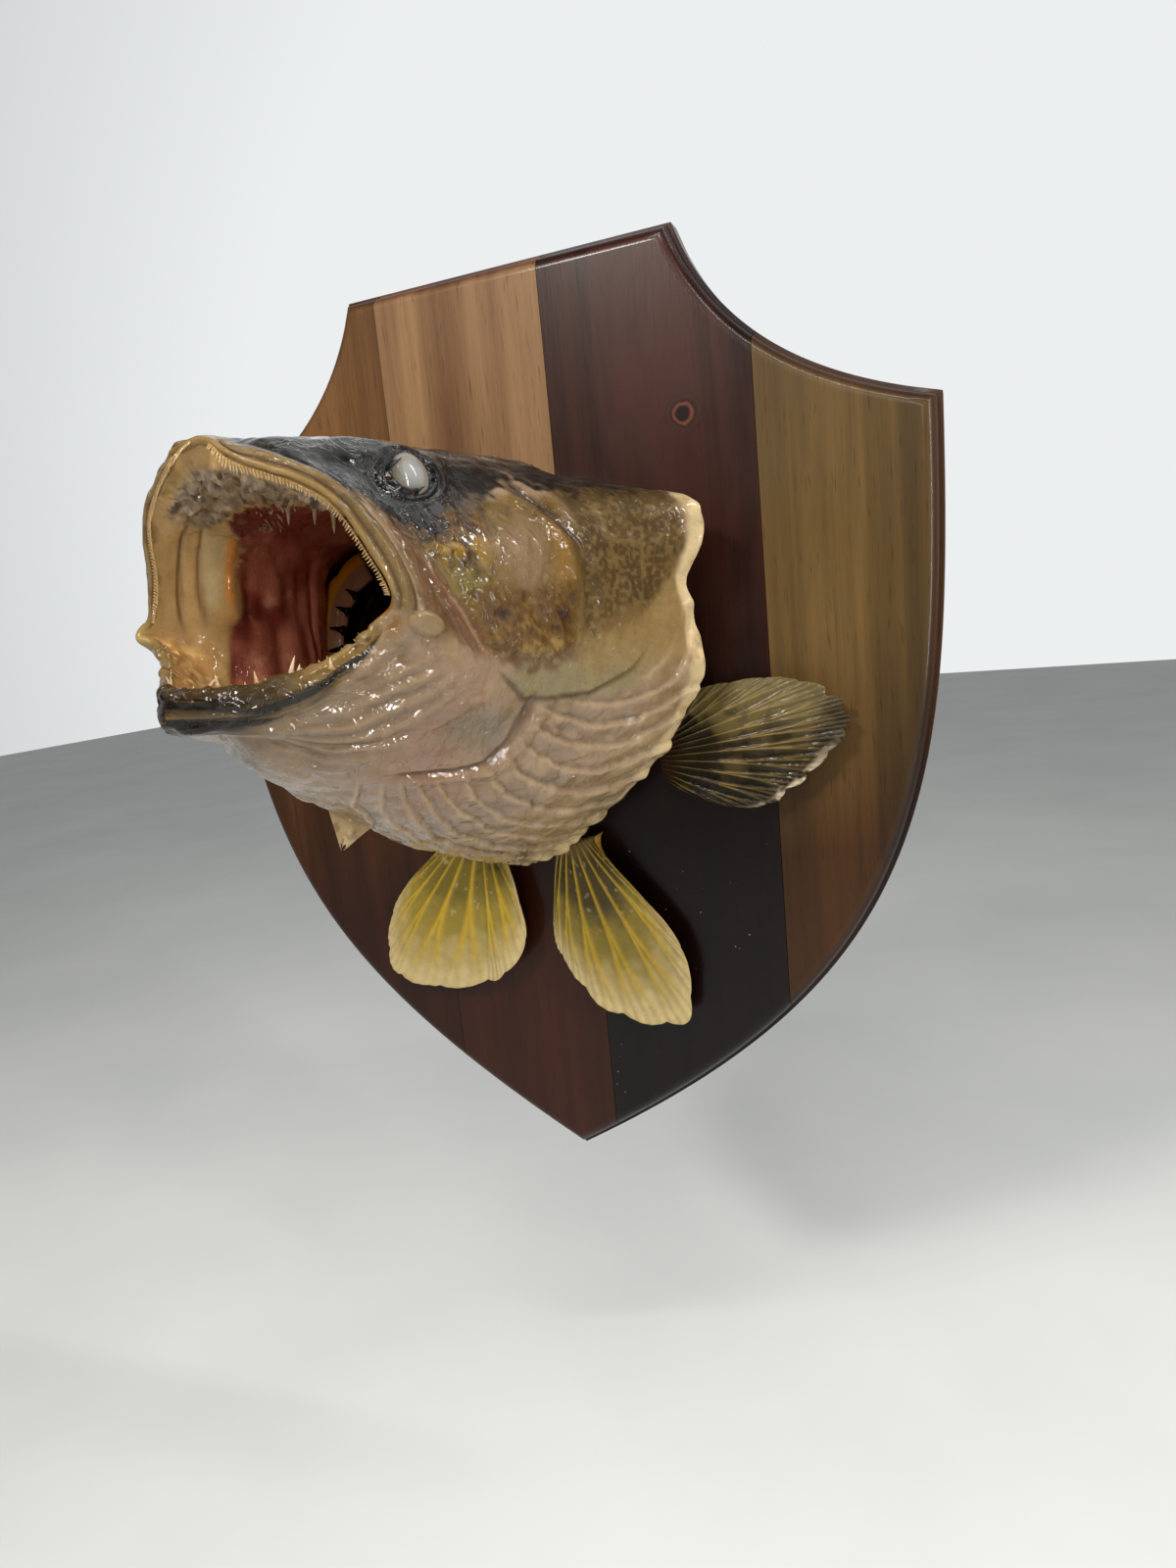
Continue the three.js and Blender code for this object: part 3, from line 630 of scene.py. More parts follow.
def outer_face(side, rail):
    """The outer skin: its points, normals, stations and distance from the eyes."""
    station = (RIM - 5.93 * np.linspace(0, 1, OUTER_ROWS))[:, None] + 0 * rail
    rim = rim_station(rail) + 0.03 * line_noise(side * rail * 9, 3.0, 17) * band(rail, 2.3, 8.8, 0.3)
    station = station - (RIM - rim) * smooth(station, 4, RIM)
    side, rail = (np.broadcast_to(v, station.shape) for v in (side, rail))
    base = bare_skin(side, rail, station)
    socket, eye_distance = orbit(base)
    clear = fall(eye_distance, 9, 15)
    shape = forms(rail, station, base) * (1 - 0.8 * clear) + socket
    shape = shape + wrinkles(rail, station, base) * (1 - 0.5 * clear)
    shape = shape + 1.3 * noise(base, 11, 19) * smooth(station, 5.4, RIM) * band(rail, 2.2, 8.9, 0.2)  # frilled rim
    # the swelling at the right corner of the mouth
    shape = shape + 6.5 * bell(rail, 5.4, 0.42) * bell(clamp(station - 0.25, 0, RIM), 0.0, 0.6) * (side < 0)
    outer = before_wall(base + skin_normals(base, base) * shape[..., None])
    return outer, skin_normals(outer, base), station, eye_distance


def mouth_lining(side, rail, start):
    """The lining of the mouth from the lip's inner edge to the gullet, and the depth of each row."""
    ring = [start]
    for k, share in enumerate(LINING_SHARES):
        p = netted(LINING, rail, np.full(COLUMNS, float(k)))
        ring.append(placed(side, p, rail, np.where(side < 0, share, 0)))
    table = extended(np.array(ring), 0)
    # rows are denser towards the front, where the lining shows
    deep = len(LINING_SHARES) * (np.linspace(0, 1, LINING_ROWS + 1)[1:] ** 1.25)
    lining = []
    for d in deep:
        i = min(int(d), len(LINING_SHARES) - 1)
        lining.append(np.tensordot(weights(np.array(d - i)), table[i : i + 4], 1))
    lining = np.array(lining)
    inward = grid_normals(lining)
    if ((lining.mean(1, keepdims=True) - lining) * inward).sum() < 0:
        inward = -inward
    d, r = np.broadcast_to(deep[:, None], lining.shape[:2]), rail
    stretched = lining * np.array([1, 1, 0.35])
    relief = (
        2.6 * fractal(stretched, 17, 3, 101) * smooth(d, 0.4, 1.2) * band(r, 2.6, 7.2, 0.4)  # folds and pleats
        - 2.2 * ridged(stretched, 22, 1, 103) * band(d, 1.7, 4.2, 0.3) * band(r, 3.0, 7.0, 0.5)
        + 3.4 * ridged(lining, 8.0, 3, 111) * band(d, 0.5, 2.2, 0.35) * fall(r, 2.2, 3.0)  # the palate's pads
        + 1.8 * clamp(fractal(lining, 6.0, 2, 121)) * fall(d, 0.5, 0.9) * fall(r, 1.6, 2.6)
        + 2.6 * bell(d, 2.02, 0.12) * band(r, 2.2, 4.8, 0.3)  # the shelf at the panels' end
        + 1.6 * ridged(lining, 4.0, 2, 115) * bell(d, 2.22, 0.12) * band(r, 2.0, 3.6, 0.2)
        - 1.6 * (bell(d, 1.1, 0.06) + bell(d, 1.5, 0.06)) * band(r, 2.2, 4.9, 0.3)  # creases of the panels
        + 1.6 * clamp(fractal(lining, 4.0, 2, 131)) * bell(r, 6.6, 0.7) * fall(d, 0.9, 1.3)
    )
    return lining + inward * relief[..., None], deep


def build_skin():
    """One closed ring of columns: the gill covers' inner face, rim, outer skin, lip, lining and gullet's end."""
    a = np.linspace(-KEEL, KEEL, COLUMNS, endpoint=False)
    side, rail = np.where(a < 0, -1.0, 1.0), np.abs(a)
    outer, normal, station, eye_distance = outer_face(side, rail)

    rows = np.linspace(OUTER_ROWS - INNER_REACH, 0, INNER_ROWS).astype(int)
    depth = COVER_EDGE + 1.8 * smooth(RIM - station[rows], 0.5, 3.0)
    inner = before_wall(outer[rows] - normal[rows] * depth[..., None])
    rim_roll = before_wall(roll(outer[0], normal[0], unit(outer[0] - outer[3]), COVER_EDGE)[::-1])
    thick = lip_thickness(rail)[:, None]
    lip_roll = roll(outer[-1], normal[-1], unit(outer[-1] - outer[-4]), thick)
    lining, deep = mouth_lining(side, rail, outer[-1] - normal[-1] * thick)
    end = np.broadcast_to(lining[-1].mean(0), (1, COLUMNS, 3))

    points = np.concatenate([inner, rim_roll, outer, lip_roll, lining, end]).reshape(-1, 3)
    count = [INNER_ROWS, ROLL_ROWS, OUTER_ROWS, ROLL_ROWS, LINING_ROWS, 1]
    zone = np.repeat(np.arange(len(count)), np.array(count) * COLUMNS)
    stations = np.concatenate([
        station[rows].ravel(), np.tile(station[0], ROLL_ROWS), station.ravel(),
        np.tile(station[-1], ROLL_ROWS), np.repeat(deep, COLUMNS), np.full(COLUMNS, 6.0),
    ])
    eye_far = np.full(len(points), FAR)
    eye_far[zone == OUTER] = eye_distance.ravel()
    faces = turned_out(points, grid_faces(sum(count), COLUMNS))
    rgb, wet = paint_skin(points, zone, np.tile(side, sum(count)), np.tile(rail, sum(count)), stations, eye_far)
    return painted_piece("skin", points, faces, rgb, wet)


def paint_outside(p, side, rail, station, eye_far, nub, n1, n2, n3):
    """The markings of the outer skin, and how wet it looks."""
    r = rail + 0.12 * n2
    s = station + 0.10 * n1
    paint = Paint(len(p), "b1a191")
    lay = paint.lay

    def spot(at_rail, across, at_station, along):
        return bell(r, at_rail, across) * bell(s, at_station, along)

    # throat and gill membranes: cream and pink, greyer in front
    lay("9c8e80", smooth(n1, -0.3, 0.6) * 0.8)
    lay("cdbd9f", smooth(n2, 0.0, 0.8) * 0.55)
    lay("86735f", smooth(n2 * 0.6 - n1, 0.15, 0.8) * smooth(station, 2.6, 3.6) * 0.5)
    lay("a37f78", spot(7.0, 0.9, 2.2, 0.9) * 0.7)
    lay("a07c6c", spot(7.9, 0.5, 3.0, 0.6) * 0.6)
    lay("958a7a", fall(s, 1.6, 2.6) * smooth(r, 5.6, 6.6) * 0.7)
    front_fold = front_folds(rail, station, p)
    # the long folds: painted shade in their hollows and painted highlight on their crests
    lay("6d5a4a", smooth(-front_fold, 0.2, 0.9) * 0.4)
    lay("c9b79c", smooth(front_fold, 0.3, 0.9) * 0.35)
    lay("88857a", gular(rail, station, 0.36, 0.12) * 0.9)
    lay("cbc3a4", smooth(r, 6.0, 7.2) * smooth(s, 4.6, 5.7) * 0.6)
    base, fan, across, own = rays_fan(rail, station, p)
    on_rays = smooth(station - base, 0.0, 0.4) * band(fan, 5.9, 9.4, 0.1)
    hard = clamp(0.55 + 0.6 * n1 + 0.4 * own)
    # painted shade along the edges where the rays overlap
    lay("57432f", (bell(across, 1.0, 0.11) + bell(across, 0.0, 0.05)) * on_rays * hard * 0.6)
    lay("9c8a64", bell(across, 0.62, 0.16) * on_rays * smooth(station, 4.4, 5.4) * 0.5)
    # painted highlight along each ray's crest
    lay("d8cbb6", bell(across, 0.2, 0.12) * on_rays * 0.5)
    # painted shade in the crease where the rays start
    lay("5a4638", bell(station, base - 0.03, 0.06) * band(rail, 5.9, 7.8, 0.15) * 0.85)
    # smooth plate under the cheek
    lay("9d9a80", band(r, 5.2, 5.95, 0.1) * band(s, 2.8, 4.9, 0.2) * 0.95)
    # painted shade in the step below the plate's lower edge
    lay("5e4c3a", bell(rail, plate_rail(station) + 0.03, 0.05) * band(station, 2.7, 5.4, 0.2) * 0.8)
    # cheek: tan under varnish, gold in front, pinkish middle, golden rim, brown and ragged below
    on_cheek = band(r, 2.2, 5.2, 0.15) * band(s, 1.9, 4.05, 0.12)
    lay("78652f", on_cheek)
    lay("b59836", spot(3.1, 0.5, 2.4, 0.5) * smooth(n2, -0.7, 0.4))
    lay("5f5530", on_cheek * smooth(n2 + 0.5 * n3, 0.15, 0.75) * spot(3.2, 0.8, 2.3, 0.7) * 0.85)
    patch = spot(3.3, 0.6, 2.4, 0.4)
    lay("3f3115", patch * smooth(-n2 - 0.4 * n3, 0.05, 0.4) * 0.85)
    lay("ccb250", patch * smooth(n2 + 0.4 * n3, 0.1, 0.4) * 0.75)
    lay("4a3a1c", on_cheek * smooth(-n2 - 0.5 * n3, 0.2, 0.7) * 0.45)
    lay("a8803a", spot(2.68, 0.16, 2.75, 0.18) * smooth(n2 + n3, -0.6, 0.3) * 0.8)
    lay("8b854c", spot(3.95, 0.35, 2.25, 0.35) * 0.8)
    lay("4d3d1a", on_cheek * bell(station, 2.1, 0.3) * smooth(-n3, 0.1, 0.6) * bell(r, 3.6, 0.6) * 0.7)
    lay("a08c76", spot(3.6, 0.85, 3.3, 0.36) * 0.95)
    lay("8e7c62", spot(3.6, 0.85, 3.25, 0.36) * smooth(n3, -0.1, 0.6) * 0.6)
    lay("97762f", bell(s, 3.78 + 0.06 * n1, 0.12) * band(r, 2.3, 4.6, 0.3) * smooth(n2, -0.6, 0.4) * 0.85)
    lay("6a5228", bell(s, 3.6, 0.1) * band(r, 2.3, 3.4, 0.3) * smooth(n2, -0.3, 0.5) * 0.7)
    low = band(r, 4.15, 5.0, 0.15) * band(s, 2.3, 3.95, 0.15)
    lay("6a5028", low * 0.9)
    lay("98804a", low * smooth(n3, 0.1, 0.7) * 0.6)
    lay("34230f", low * smooth(n2 + 0.5 * n3, 0.3, 0.7) * 0.7)
    lay("2e170d", (spot(4.52, 0.1, 2.72, 0.22) + spot(4.66, 0.12, 3.72, 0.1)) * 0.95)
    fringe_at = fringe_rail(station, p)
    lay("b09a60", bell(rail, fringe_at - 0.14, 0.13) * band(s, 2.3, 3.8, 0.2) * smooth(n2, -0.5, 0.3) * 0.85)
    lay("6b4d28", bell(rail, fringe_at - 0.17, 0.16) * band(s, 2.3, 3.9, 0.2) * smooth(n3, 0.2, 0.7) * 0.8)
    lay("6a4a34", bell(rail, fringe_at + 0.1, 0.1) * band(s, 2.5, 4.3, 0.3) * 0.7)
    # painted shadow in the step behind the cheek's back edge
    lay("3f3020", bell(s, cheek_end(rail) + 0.2, 0.12) * band(rail, 1.8, 4.8, 0.3) * 0.85)
    # bones under the eye: olive and tan ribs, then the smooth reddish panel that slants back
    stripe = ridged(slanted(p), 7.5, 3, 25)
    lacrimal = band(r, 2.6, 5.2, 0.2) * band(s, 1.0, 1.95, 0.12)
    lay("85744f", lacrimal * 0.9)
    lay("5d4628", lacrimal * smooth(stripe, 0.3, 0.8) * 0.55)
    lay("a39468", lacrimal * bell(station, 1.28, 0.12) * 0.6)
    slope = slant(rail)
    # painted shade in the groove in front of the slanting panel
    lay("3d2c1a", band(rail, 3.2, 5.3, 0.3) * bell(station, slope - 0.12, 0.05) * 0.8)
    lay("6b4c34", band(station, 1.12, slope + 0.3, 0.1) * band(rail, 3.6, 5.1, 0.2) * 0.75)
    lay("83604a", bell(s, slope, 0.2) * band(rail, 3.7, 5.3, 0.2) * 0.8)
    lay("b39f86", bell(s, slope + 0.1, 0.05) * band(rail, 3.7, 5.3, 0.2) * 0.6)
    lay("9a8a76", bell(s, slope - 0.25, 0.08) * band(rail, 4.2, 5.3, 0.2) * 0.6)
    # gill cover: olive brown with worm marks, darker above, glassy tan below
    on_cover = band(r, 1.3, 5.2, 0.25) * smooth(s, 3.98, 4.2) * fall(s, 5.6, 5.8)
    lay("6c5c38", on_cover)
    worms = 1.1 * ridged(p, 3.4, 1, 33) - 0.6 + 0.35 * fractal(p, 2.3, 2, 31)
    lay("4a3a20", on_cover * smooth(-n1, -0.2, 0.8) * 0.6)
    lay("8d7c54", on_cover * smooth(worms, 0.0, 0.45) * 0.3)
    lay("3a2e18", on_cover * smooth(-worms, 0.0, 0.6) * 0.3)
    lay("9a8a60", on_cover * smooth(fractal(p, 1.9, 1, 35), 0.1, 0.5) * 0.35)
    lay("30251c", on_cover * fall(r, 1.8, 2.6) * 0.75)
    lower = np.interp(station, [4.0, 4.6, 5.0, 5.3, 5.6], [4.95, 4.85, 4.6, 4.2, 3.7])
    below = smooth(rail + 0.25 * n2 - lower, -0.25, 0.35) * band(s, 4.0, 6.0, 0.2)
    lay("a08f66", below * fall(r, 5.3, 5.9) * 0.85)
    lay("6d5230", bell(rail + 0.2 * n2, lower + 0.1, 0.12) * band(s, 4.0, 5.4, 0.2) * smooth(n2, -0.2, 0.6) * 0.6)
    lay("ece3c4", smooth(s, 5.68, 5.82) * band(r, 1.7, 8.9, 0.2) * 0.95)
    lay("a8966c", smooth(s, 5.66, 5.8) * band(r, 2.2, 8.9, 0.2) * smooth(n2, 0.25, 0.8) * 0.6)
    # lip bones
    on_lip = band(rail, 0.3, 5.35, 0.15) * fall(station, 0.9, 1.02)
    lines = lip_lines(station, p)
    lay("7c6a48", on_lip)
    lay("b5a06e", on_lip * bell(lines, 0.12, 0.12) * 0.8)
    lay("4a3820", on_lip * bell(lines, 0.36, 0.06) * 0.5)
    lay("9c8a62", on_lip * bell(lines, 0.62, 0.12) * 0.6)
    lay("54432a", on_lip * smooth(n2, 0.1, 0.7) * 0.5)
    lay("1c140b", on_lip * bell(lines, 0.96, 0.06) * 0.7)
    # corner of the mouth: amber skin, and the rounded cream plate behind it
    lay("8a6a2c", spot(5.75, 0.3, 0.5, 0.3) * 0.85)
    lay("7c6444", bell(rail, 5.4, 0.32) * bell(station, 1.3, 0.42) * 0.6)
    oval = oval_plate(p)
    lay("a89c80", fall(oval, 0.85, 1.0) * 0.6)
    lay("6b563a", bell(oval, 1.03, 0.05) * 0.4)
    # dark crown, snout and eye surround
    lower_dark = np.interp(
        station,
        [0.9, 1.1, 1.4, 2.0, 2.7, 3.2, 3.6, 4.4, 5.4, 6.0],
        [2.9, 3.15, 3.05, 2.8, 2.5, 2.1, 1.75, 1.85, 1.75, 1.6],
    )
    below_eye = band(station, 0.95, 2.9, 0.2)
    streaks = fractal(slanted(p), 5, 3, 207)
    edge_of_dark = rail + 0.16 * n2 + 0.1 * n3 + 0.3 * streaks
    lay("5a3f2e", bell(edge_of_dark, lower_dark + 0.22, 0.16) * below_eye * 0.75)
    lay("24180f", bell(rail, lower_dark + 0.3, 0.2) * smooth(streaks, 0.1, 0.5) * below_eye * 0.8)
    dark = fall(edge_of_dark, lower_dark - 0.2, lower_dark + 0.25) * smooth(station, 0.8, 0.98)
    lay("111417", dark * 0.98)
    # blue-grey patches on the dark snout: a painted sheen, a reflection of pale light
    lay("3d4a56", dark * smooth(n2, 0.25, 0.8) * 0.6 * fall(station, 2.9, 3.6))
    lay("030404", dark * smooth(-n2, 0.1, 0.7) * 0.8)
    lay("50565a", dark * smooth(n3, 0.55, 0.95) * 0.35)
    lay("5b4326", dark * smooth(rail - lower_dark, -0.5, -0.05) * smooth(n1, -0.2, 0.5) * 0.55)
    lay("1f1711", dark * smooth(station, 2.8, 3.6) * 0.8)
    lay("3a2b1d", dark * smooth(station, 3.0, 4.0) * smooth(n2, 0.0, 0.8) * 0.6)
    lay("a08850", dark * smooth(n1 + n3, 0.2, 0.7) * fall(station, 1.2, 1.7) * fall(rail, 0.6, 1.4) * 0.8)
    behind_eye = bell(rail, 2.2, 0.25) * bell(station, 2.95, 0.25)
    lay("6a5f57", behind_eye * 0.5)
    lay("15110d", behind_eye * smooth(n3, 0.2, 0.6) * 0.8)
    ring = eye_far + 0.5 * noise(p, 5, 93)
    lay("050607", fall(ring, 12.5, 16) * 0.97)
    lay("5a5850", bell(ring, 8.6, 0.35) * smooth(n3, -0.3, 0.6) * 0.6)
    lay("3c444a", bell(ring, 12.2, 0.7) * smooth(n3, -0.3, 0.6) * 0.7)
    # lower jaw: golden olive upper edge, a black wet band, the chin black throughout
    jaw_low = np.interp(rail, [5.8, 6.3, 6.8, 7.4, 9.0], [0.2, 0.45, 0.72, 0.92, 0.98])
    on_jaw = smooth(r, 5.9, 6.4) * fall(s, jaw_low - 0.06, jaw_low + 0.1)
    lay("100c08", on_jaw * 0.98)
    along = fractal(np.stack([side * rail * 9, station * 42, rail * 0], -1), 9, 3, 211)
    lower_edge = smooth(station, 0.45, 0.95)
    lay("5c4a24", on_jaw * smooth(along, 0.1, 0.5) * (1 - lower_edge) * 0.5)
    lay("8d7d5e", on_jaw * smooth(along, -0.1, 0.4) * lower_edge * 0.85)
    lay("c0b08c", on_jaw * smooth(along, 0.35, 0.7) * lower_edge * 0.6)
    golden = smooth(rail, 5.9, 6.2) * fall(station + 0.06 * n2, 0.28, 0.42) * fall(rail, 7.4, 8.0)
    lay("8f7a45", golden * 0.95)
    lay("453619", golden * smooth(n3, 0.0, 0.7) * 0.7)
    lay("1d1812", smooth(r, 8.0, 8.6) * fall(s, 1.0, 1.5) * smooth(-along, -0.4, 0.1) * 0.9)
    lay("6b6358", smooth(r, 8.2, 8.8) * fall(s, 0.9, 1.3) * smooth(n3, 0.3, 0.9) * 0.5)
    lay("aca268", nub * 0.95)

    wet = 0.7 + 0.35 * n1 + 0.2 * dark - 0.15 * on_jaw + 0.4 * spot(3.4, 0.9, 2.2, 0.7)
    wet = wet - 0.6 * dark * smooth(station, 2.6, 3.2) - 0.25 * on_cheek * bell(s, 3.2, 0.4)
    wet = wet + 0.4 * smooth(rail, 5.9, 6.4) * smooth(station, 1.0, 1.4) - 0.65 * on_cover
    return paint.rgb, wet


def paint_edges(p, rail, station, nub, n1, n2, n3):
    """The colours of the gill covers' inside, of their rims and of the lips."""
    inner = Paint(len(p), "a08f7a")
    inner.lay("6d4a3c", fall(station, 2.4, 4.6))
    inner.lay("c3b394", smooth(n2, 0.0, 0.8) * smooth(station, 4.0, 5.6) * 0.7)
    inner.lay("5f3a30", smooth(n1, 0.2, 0.8) * 0.5)
    margin = Paint(len(p), "f4ecd0")
    margin.lay("8d7a58", smooth(n3, 0.2, 0.8))
    margin.lay("1b1e22", fall(rail, 1.6, 2.1))
    lips = Paint(len(p), "a8956a")
    lips.lay("7c6640", smooth(n2, 0.0, 0.7) * 0.6)
    lips.lay("a3742a", bell(rail, 5.5, 0.35) * 0.7)
    lips.lay("2a2014", smooth(rail, 7.0, 8.0) * 0.85)
    lips.lay("8c7a4c", bell(rail, 6.4, 0.6) * 0.7)
    lips.lay("c2b87c", nub * 0.9)
    return inner.rgb, margin.rgb, lips.rgb


def paint_lining(p, rail, d, n1, n2, n3):
    """Tan panels behind the lips, an orange edge, pinkish maroon walls and a dark gullet, at depth d."""
    wall = Paint(len(p), "c4ae80")
    fold_at = 1.1 + 0.07 * noise(p, 20, 61)
    wall.lay("d9d2ae", bell(d, 1.72, 0.16) * band(rail, 2.7, 4.5, 0.2) * 0.95)
    wall.lay("dcc294", band(d, 1.2, 1.45, 0.06) * band(rail, 3.4, 5.2, 0.3) * 0.7)
    # painted shade in the panels' two creases
    wall.lay("6b5230", bell(d, fold_at, 0.045) * band(rail, 2.0, 5.0, 0.3) * 0.85)
    wall.lay("7a6440", bell(d, fold_at + 0.42, 0.035) * band(rail, 2.5, 4.7, 0.2) * 0.85)
    wall.lay("8c7648", fall(d, 0.1, 0.5) * smooth(n2, -0.2, 0.6) * 0.6)
    wall.lay("e0932a", bell(d, 2.0, 0.055) * band(rail, 2.7, 4.3, 0.25) * 0.95)
    wall.lay("d9b47c", bell(d, 1.95, 0.14) * bell(rail, 4.6, 0.25) * 0.9)
    wall.lay("ad8c5e", smooth(rail, 5.0, 5.6) * fall(d, 1.5, 1.8) * 0.85)
    wall.lay("d6c294", smooth(rail, 5.2, 5.8) * fall(rail, 6.9, 7.6) * band(d, 0.4, 1.5, 0.15)
        * smooth(n3, -0.1, 0.5) * 0.8)
    palate = fall(rail, 2.2, 2.9) * band(d, 0.45, 1.7, 0.12)
    wall.lay("9c948a", palate * 0.95)
    wall.lay("4f443c", palate * smooth(-n3, 0.1, 0.6) * 0.8)
    wall.lay("cfc8bc", palate * smooth(n3, 0.2, 0.7) * 0.7)
    starts = np.interp(rail, [0, 2.0, 2.8, 4.4, 4.9, 9], [1.75, 1.8, 2.15, 2.15, 1.8, 1.5])
    maroon = smooth(d + 0.1 * n1, starts, starts + 0.14)
    wall.lay("96524c", maroon * 0.97)
    wall.lay("c48f84", maroon * smooth(n1 + 0.4 * n2, -0.6, 0.5) * fall(rail, 6.0, 7.4) * 0.8)
    wall.lay("dcbcb0", maroon * smooth(n2 + 0.4 * n3, 0.45, 1.0) * 0.45)
    wall.lay("c9a59a", bell(d, 2.25, 0.12) * band(rail, 2.0, 3.6, 0.2) * smooth(n3, -0.2, 0.5) * 0.7)
    wall.lay("6e302a", maroon * smooth(rail, 5.6, 7.0) * 0.8)
    wall.lay("6a343c", maroon * fall(rail, 1.8, 3.2) * 0.6)
    wall.lay("4a1616", maroon * smooth(-n1, 0.2, 0.8) * 0.45)
    wall.lay("0f0504", smooth(d, 3.8, 4.8))
    return wall.rgb


def paint_skin(p, zone, side, rail, station, eye_far):
    """The markings of the skin, as colours and wetness at its points."""
    noises = fractal(p, 22, 3, 201), fractal(p, 9, 3, 202), fractal(p, 3.2, 2, 203)
    nub = (side < 0) * bell(rail, 5.45, 0.42) * fall(station, 0.6, 1.0)  # at the mouth's right corner
    rgb, wet = paint_outside(p, side, rail, station, eye_far, nub, *noises)
    wet = np.where(zone == OUTER, wet, 0.55 + 0.2 * noises[0])
    inner, margin, lips = paint_edges(p, rail, station, nub, *noises)
    for number, other in ((INSIDE, inner), (MARGIN, margin), (LIP, lips)):
        rgb = np.where((zone == number)[:, None], other, rgb)
    lined = zone >= LINED
    rgb = np.where(lined[:, None], paint_lining(p, rail, station, *noises), rgb)
    # the lining catches less light than in the photo, so its colours are made lighter
    return rgb * np.where(lined, 1.25 + 0.8 * smooth(station, 1.9, 2.4), 0.84)[:, None], clamp(wet)


# ------------------------------------------------------------------ eyes, teeth and inner pieces

UP = np.array([0, 0, 1.0])


def build_eye(name, side):
    """A cloudy glass eye: a ball with a slightly flatter front, painted in rings about its axis."""
    centre, out = eye_axis(side)
    middle = centre - out * EYE_SINK
    x = unit(np.cross(UP, out))
    y = np.cross(out, x)
    t, f = np.meshgrid(turns(72), np.linspace(0.0, np.pi, 48))
    radius = EYE_RADIUS * (1 - 0.03 * bell(f, 0, 0.5))
    t, f3 = t[..., None], f[..., None]
    p = middle + radius[..., None] * (np.sin(f3) * (np.cos(t) * x + np.sin(t) * y) + np.cos(f3) * out)
    flat, faces = tube(p)
    ring = (EYE_RADIUS * np.sin(f) + np.where(f > np.pi / 2, 20, 0)).ravel()  # the back counts as far out
    wobble = ring + 0.4 * noise(flat, 3.0, 7)
    paint = Paint(len(flat), "83827d")
    paint.lay("8f8f8c", fall(wobble, 2.0, 6.0))
    paint.lay("75777a", smooth(fractal(flat, 4, 3, 9), 0.1, 0.8) * fall(wobble, 5, 6) * 0.6)
    paint.lay("6f6a60", bell(wobble, 6.0, 0.35) * 0.6)
    paint.lay("80755f", bell(wobble, 7.0, 0.7) * 0.9)
    paint.lay("1c1a17", smooth(wobble, 8.0, 8.8))
    return painted_piece(name, flat, faces, paint.rgb / GRADE, 0.8)


class Heap:
    """Several closed forms gathered in one mesh."""

    def __init__(self):
        self.points, self.faces, self.shade = [], [], []
        self.count = 0

    def add(self, p, shade):
        """Rows of rings, with a share of the lighter colour for each point."""
        flat, faces = tube(p)
        self.points.append(flat)
        self.faces.append(faces + self.count)
        self.shade.append(shade)
        self.count += len(flat)

    def piece(self, name, low, high, wet=0.7):
        paint = Paint(self.count, low)
        paint.lay(high, np.concatenate(self.shade))
        return painted_piece(name, np.concatenate(self.points), np.concatenate(self.faces), paint.rgb, wet)


def add_tooth(heap, base, tip, radius, bend, sides=8, rows=7):
    """A curved pointed tooth, wider at its foot."""
    base, tip, bend = (np.asarray(v, float) for v in (base, tip, bend))
    along = tip - base
    x = unit(np.cross(along, [0.3, 0.5, 0.8]))
    y = unit(np.cross(along, x))
    t = np.linspace(0, 1, rows)
    middle = base + t[:, None] * along + (np.sin(np.pi * t) * 0.5)[:, None] * bend
    wide = radius * (1 - t) ** 0.8 * (1 + 0.5 * bell(t, 0, 0.15)) + 0.02
    turn = turns(sides)[:, None]
    p = middle[:, None] + wide[:, None, None] * (np.cos(turn) * x + np.sin(turn) * y)
    heap.add(capped(p, middle[0] - along * 0.1, tip), np.repeat(np.concatenate([[0], t, [1]]), sides))


def lip_at(side, rail):
    """Middle of the lip's edge, its outward normal and the direction out of the mouth."""
    station = 0.07
    normal = outward(side, rail, station)
    ahead = unit(bare_skin(side, rail, 0.0) - bare_skin(side, rail, 0.4))
    edge = bare_skin(side, rail, station) - normal * lip_thickness(rail) * 0.55 + ahead * 0.8
    return edge, normal, ahead


def build_lip_teeth(name, side):
    """The comb of small teeth along the upper lip."""
    rng = np.random.default_rng(11 + side)
    heap = Heap()
    for rail in np.linspace(0.35, 4.95, 74):
        base, normal, ahead = lip_at(side, rail)
        jitter = rng.uniform(-1, 1, 3)
        long = 1.9 + 0.7 * rng.uniform() + 1.6 * bell(rail, 0.8, 0.3)
        away = unit(ahead * 0.95 - normal * 0.5 + 0.14 * jitter)
        foot = base + ahead * 0.5
        add_tooth(heap, foot, foot + away * long, 0.5, -normal * 0.4, 6, 5)
    return heap.piece(name, "b59a6a", "efe4c8")


def build_jaw_teeth(name, side):
    """The lower jaw's row of teeth, with two longer ones near the front."""
    rng = np.random.default_rng(23 + side)
    heap = Heap()
    for i, rail in enumerate(np.linspace(6.1, 8.8, 22)):
        base, normal, ahead = lip_at(side, rail)
        fang = 1.0 if i in (15, 18) else 0.0
        long = 0.7 + 0.8 * rng.uniform() + 3.6 * fang
        away = unit(ahead * 0.9 - normal * 0.45 + 0.18 * rng.uniform(-1, 1, 3))
        foot = base - normal * 1.2
        add_tooth(heap, foot, foot + away * long, 0.4 + 0.45 * fang, -normal * 0.8)
    return heap.piece(name, "a58a60", "efe6d0")


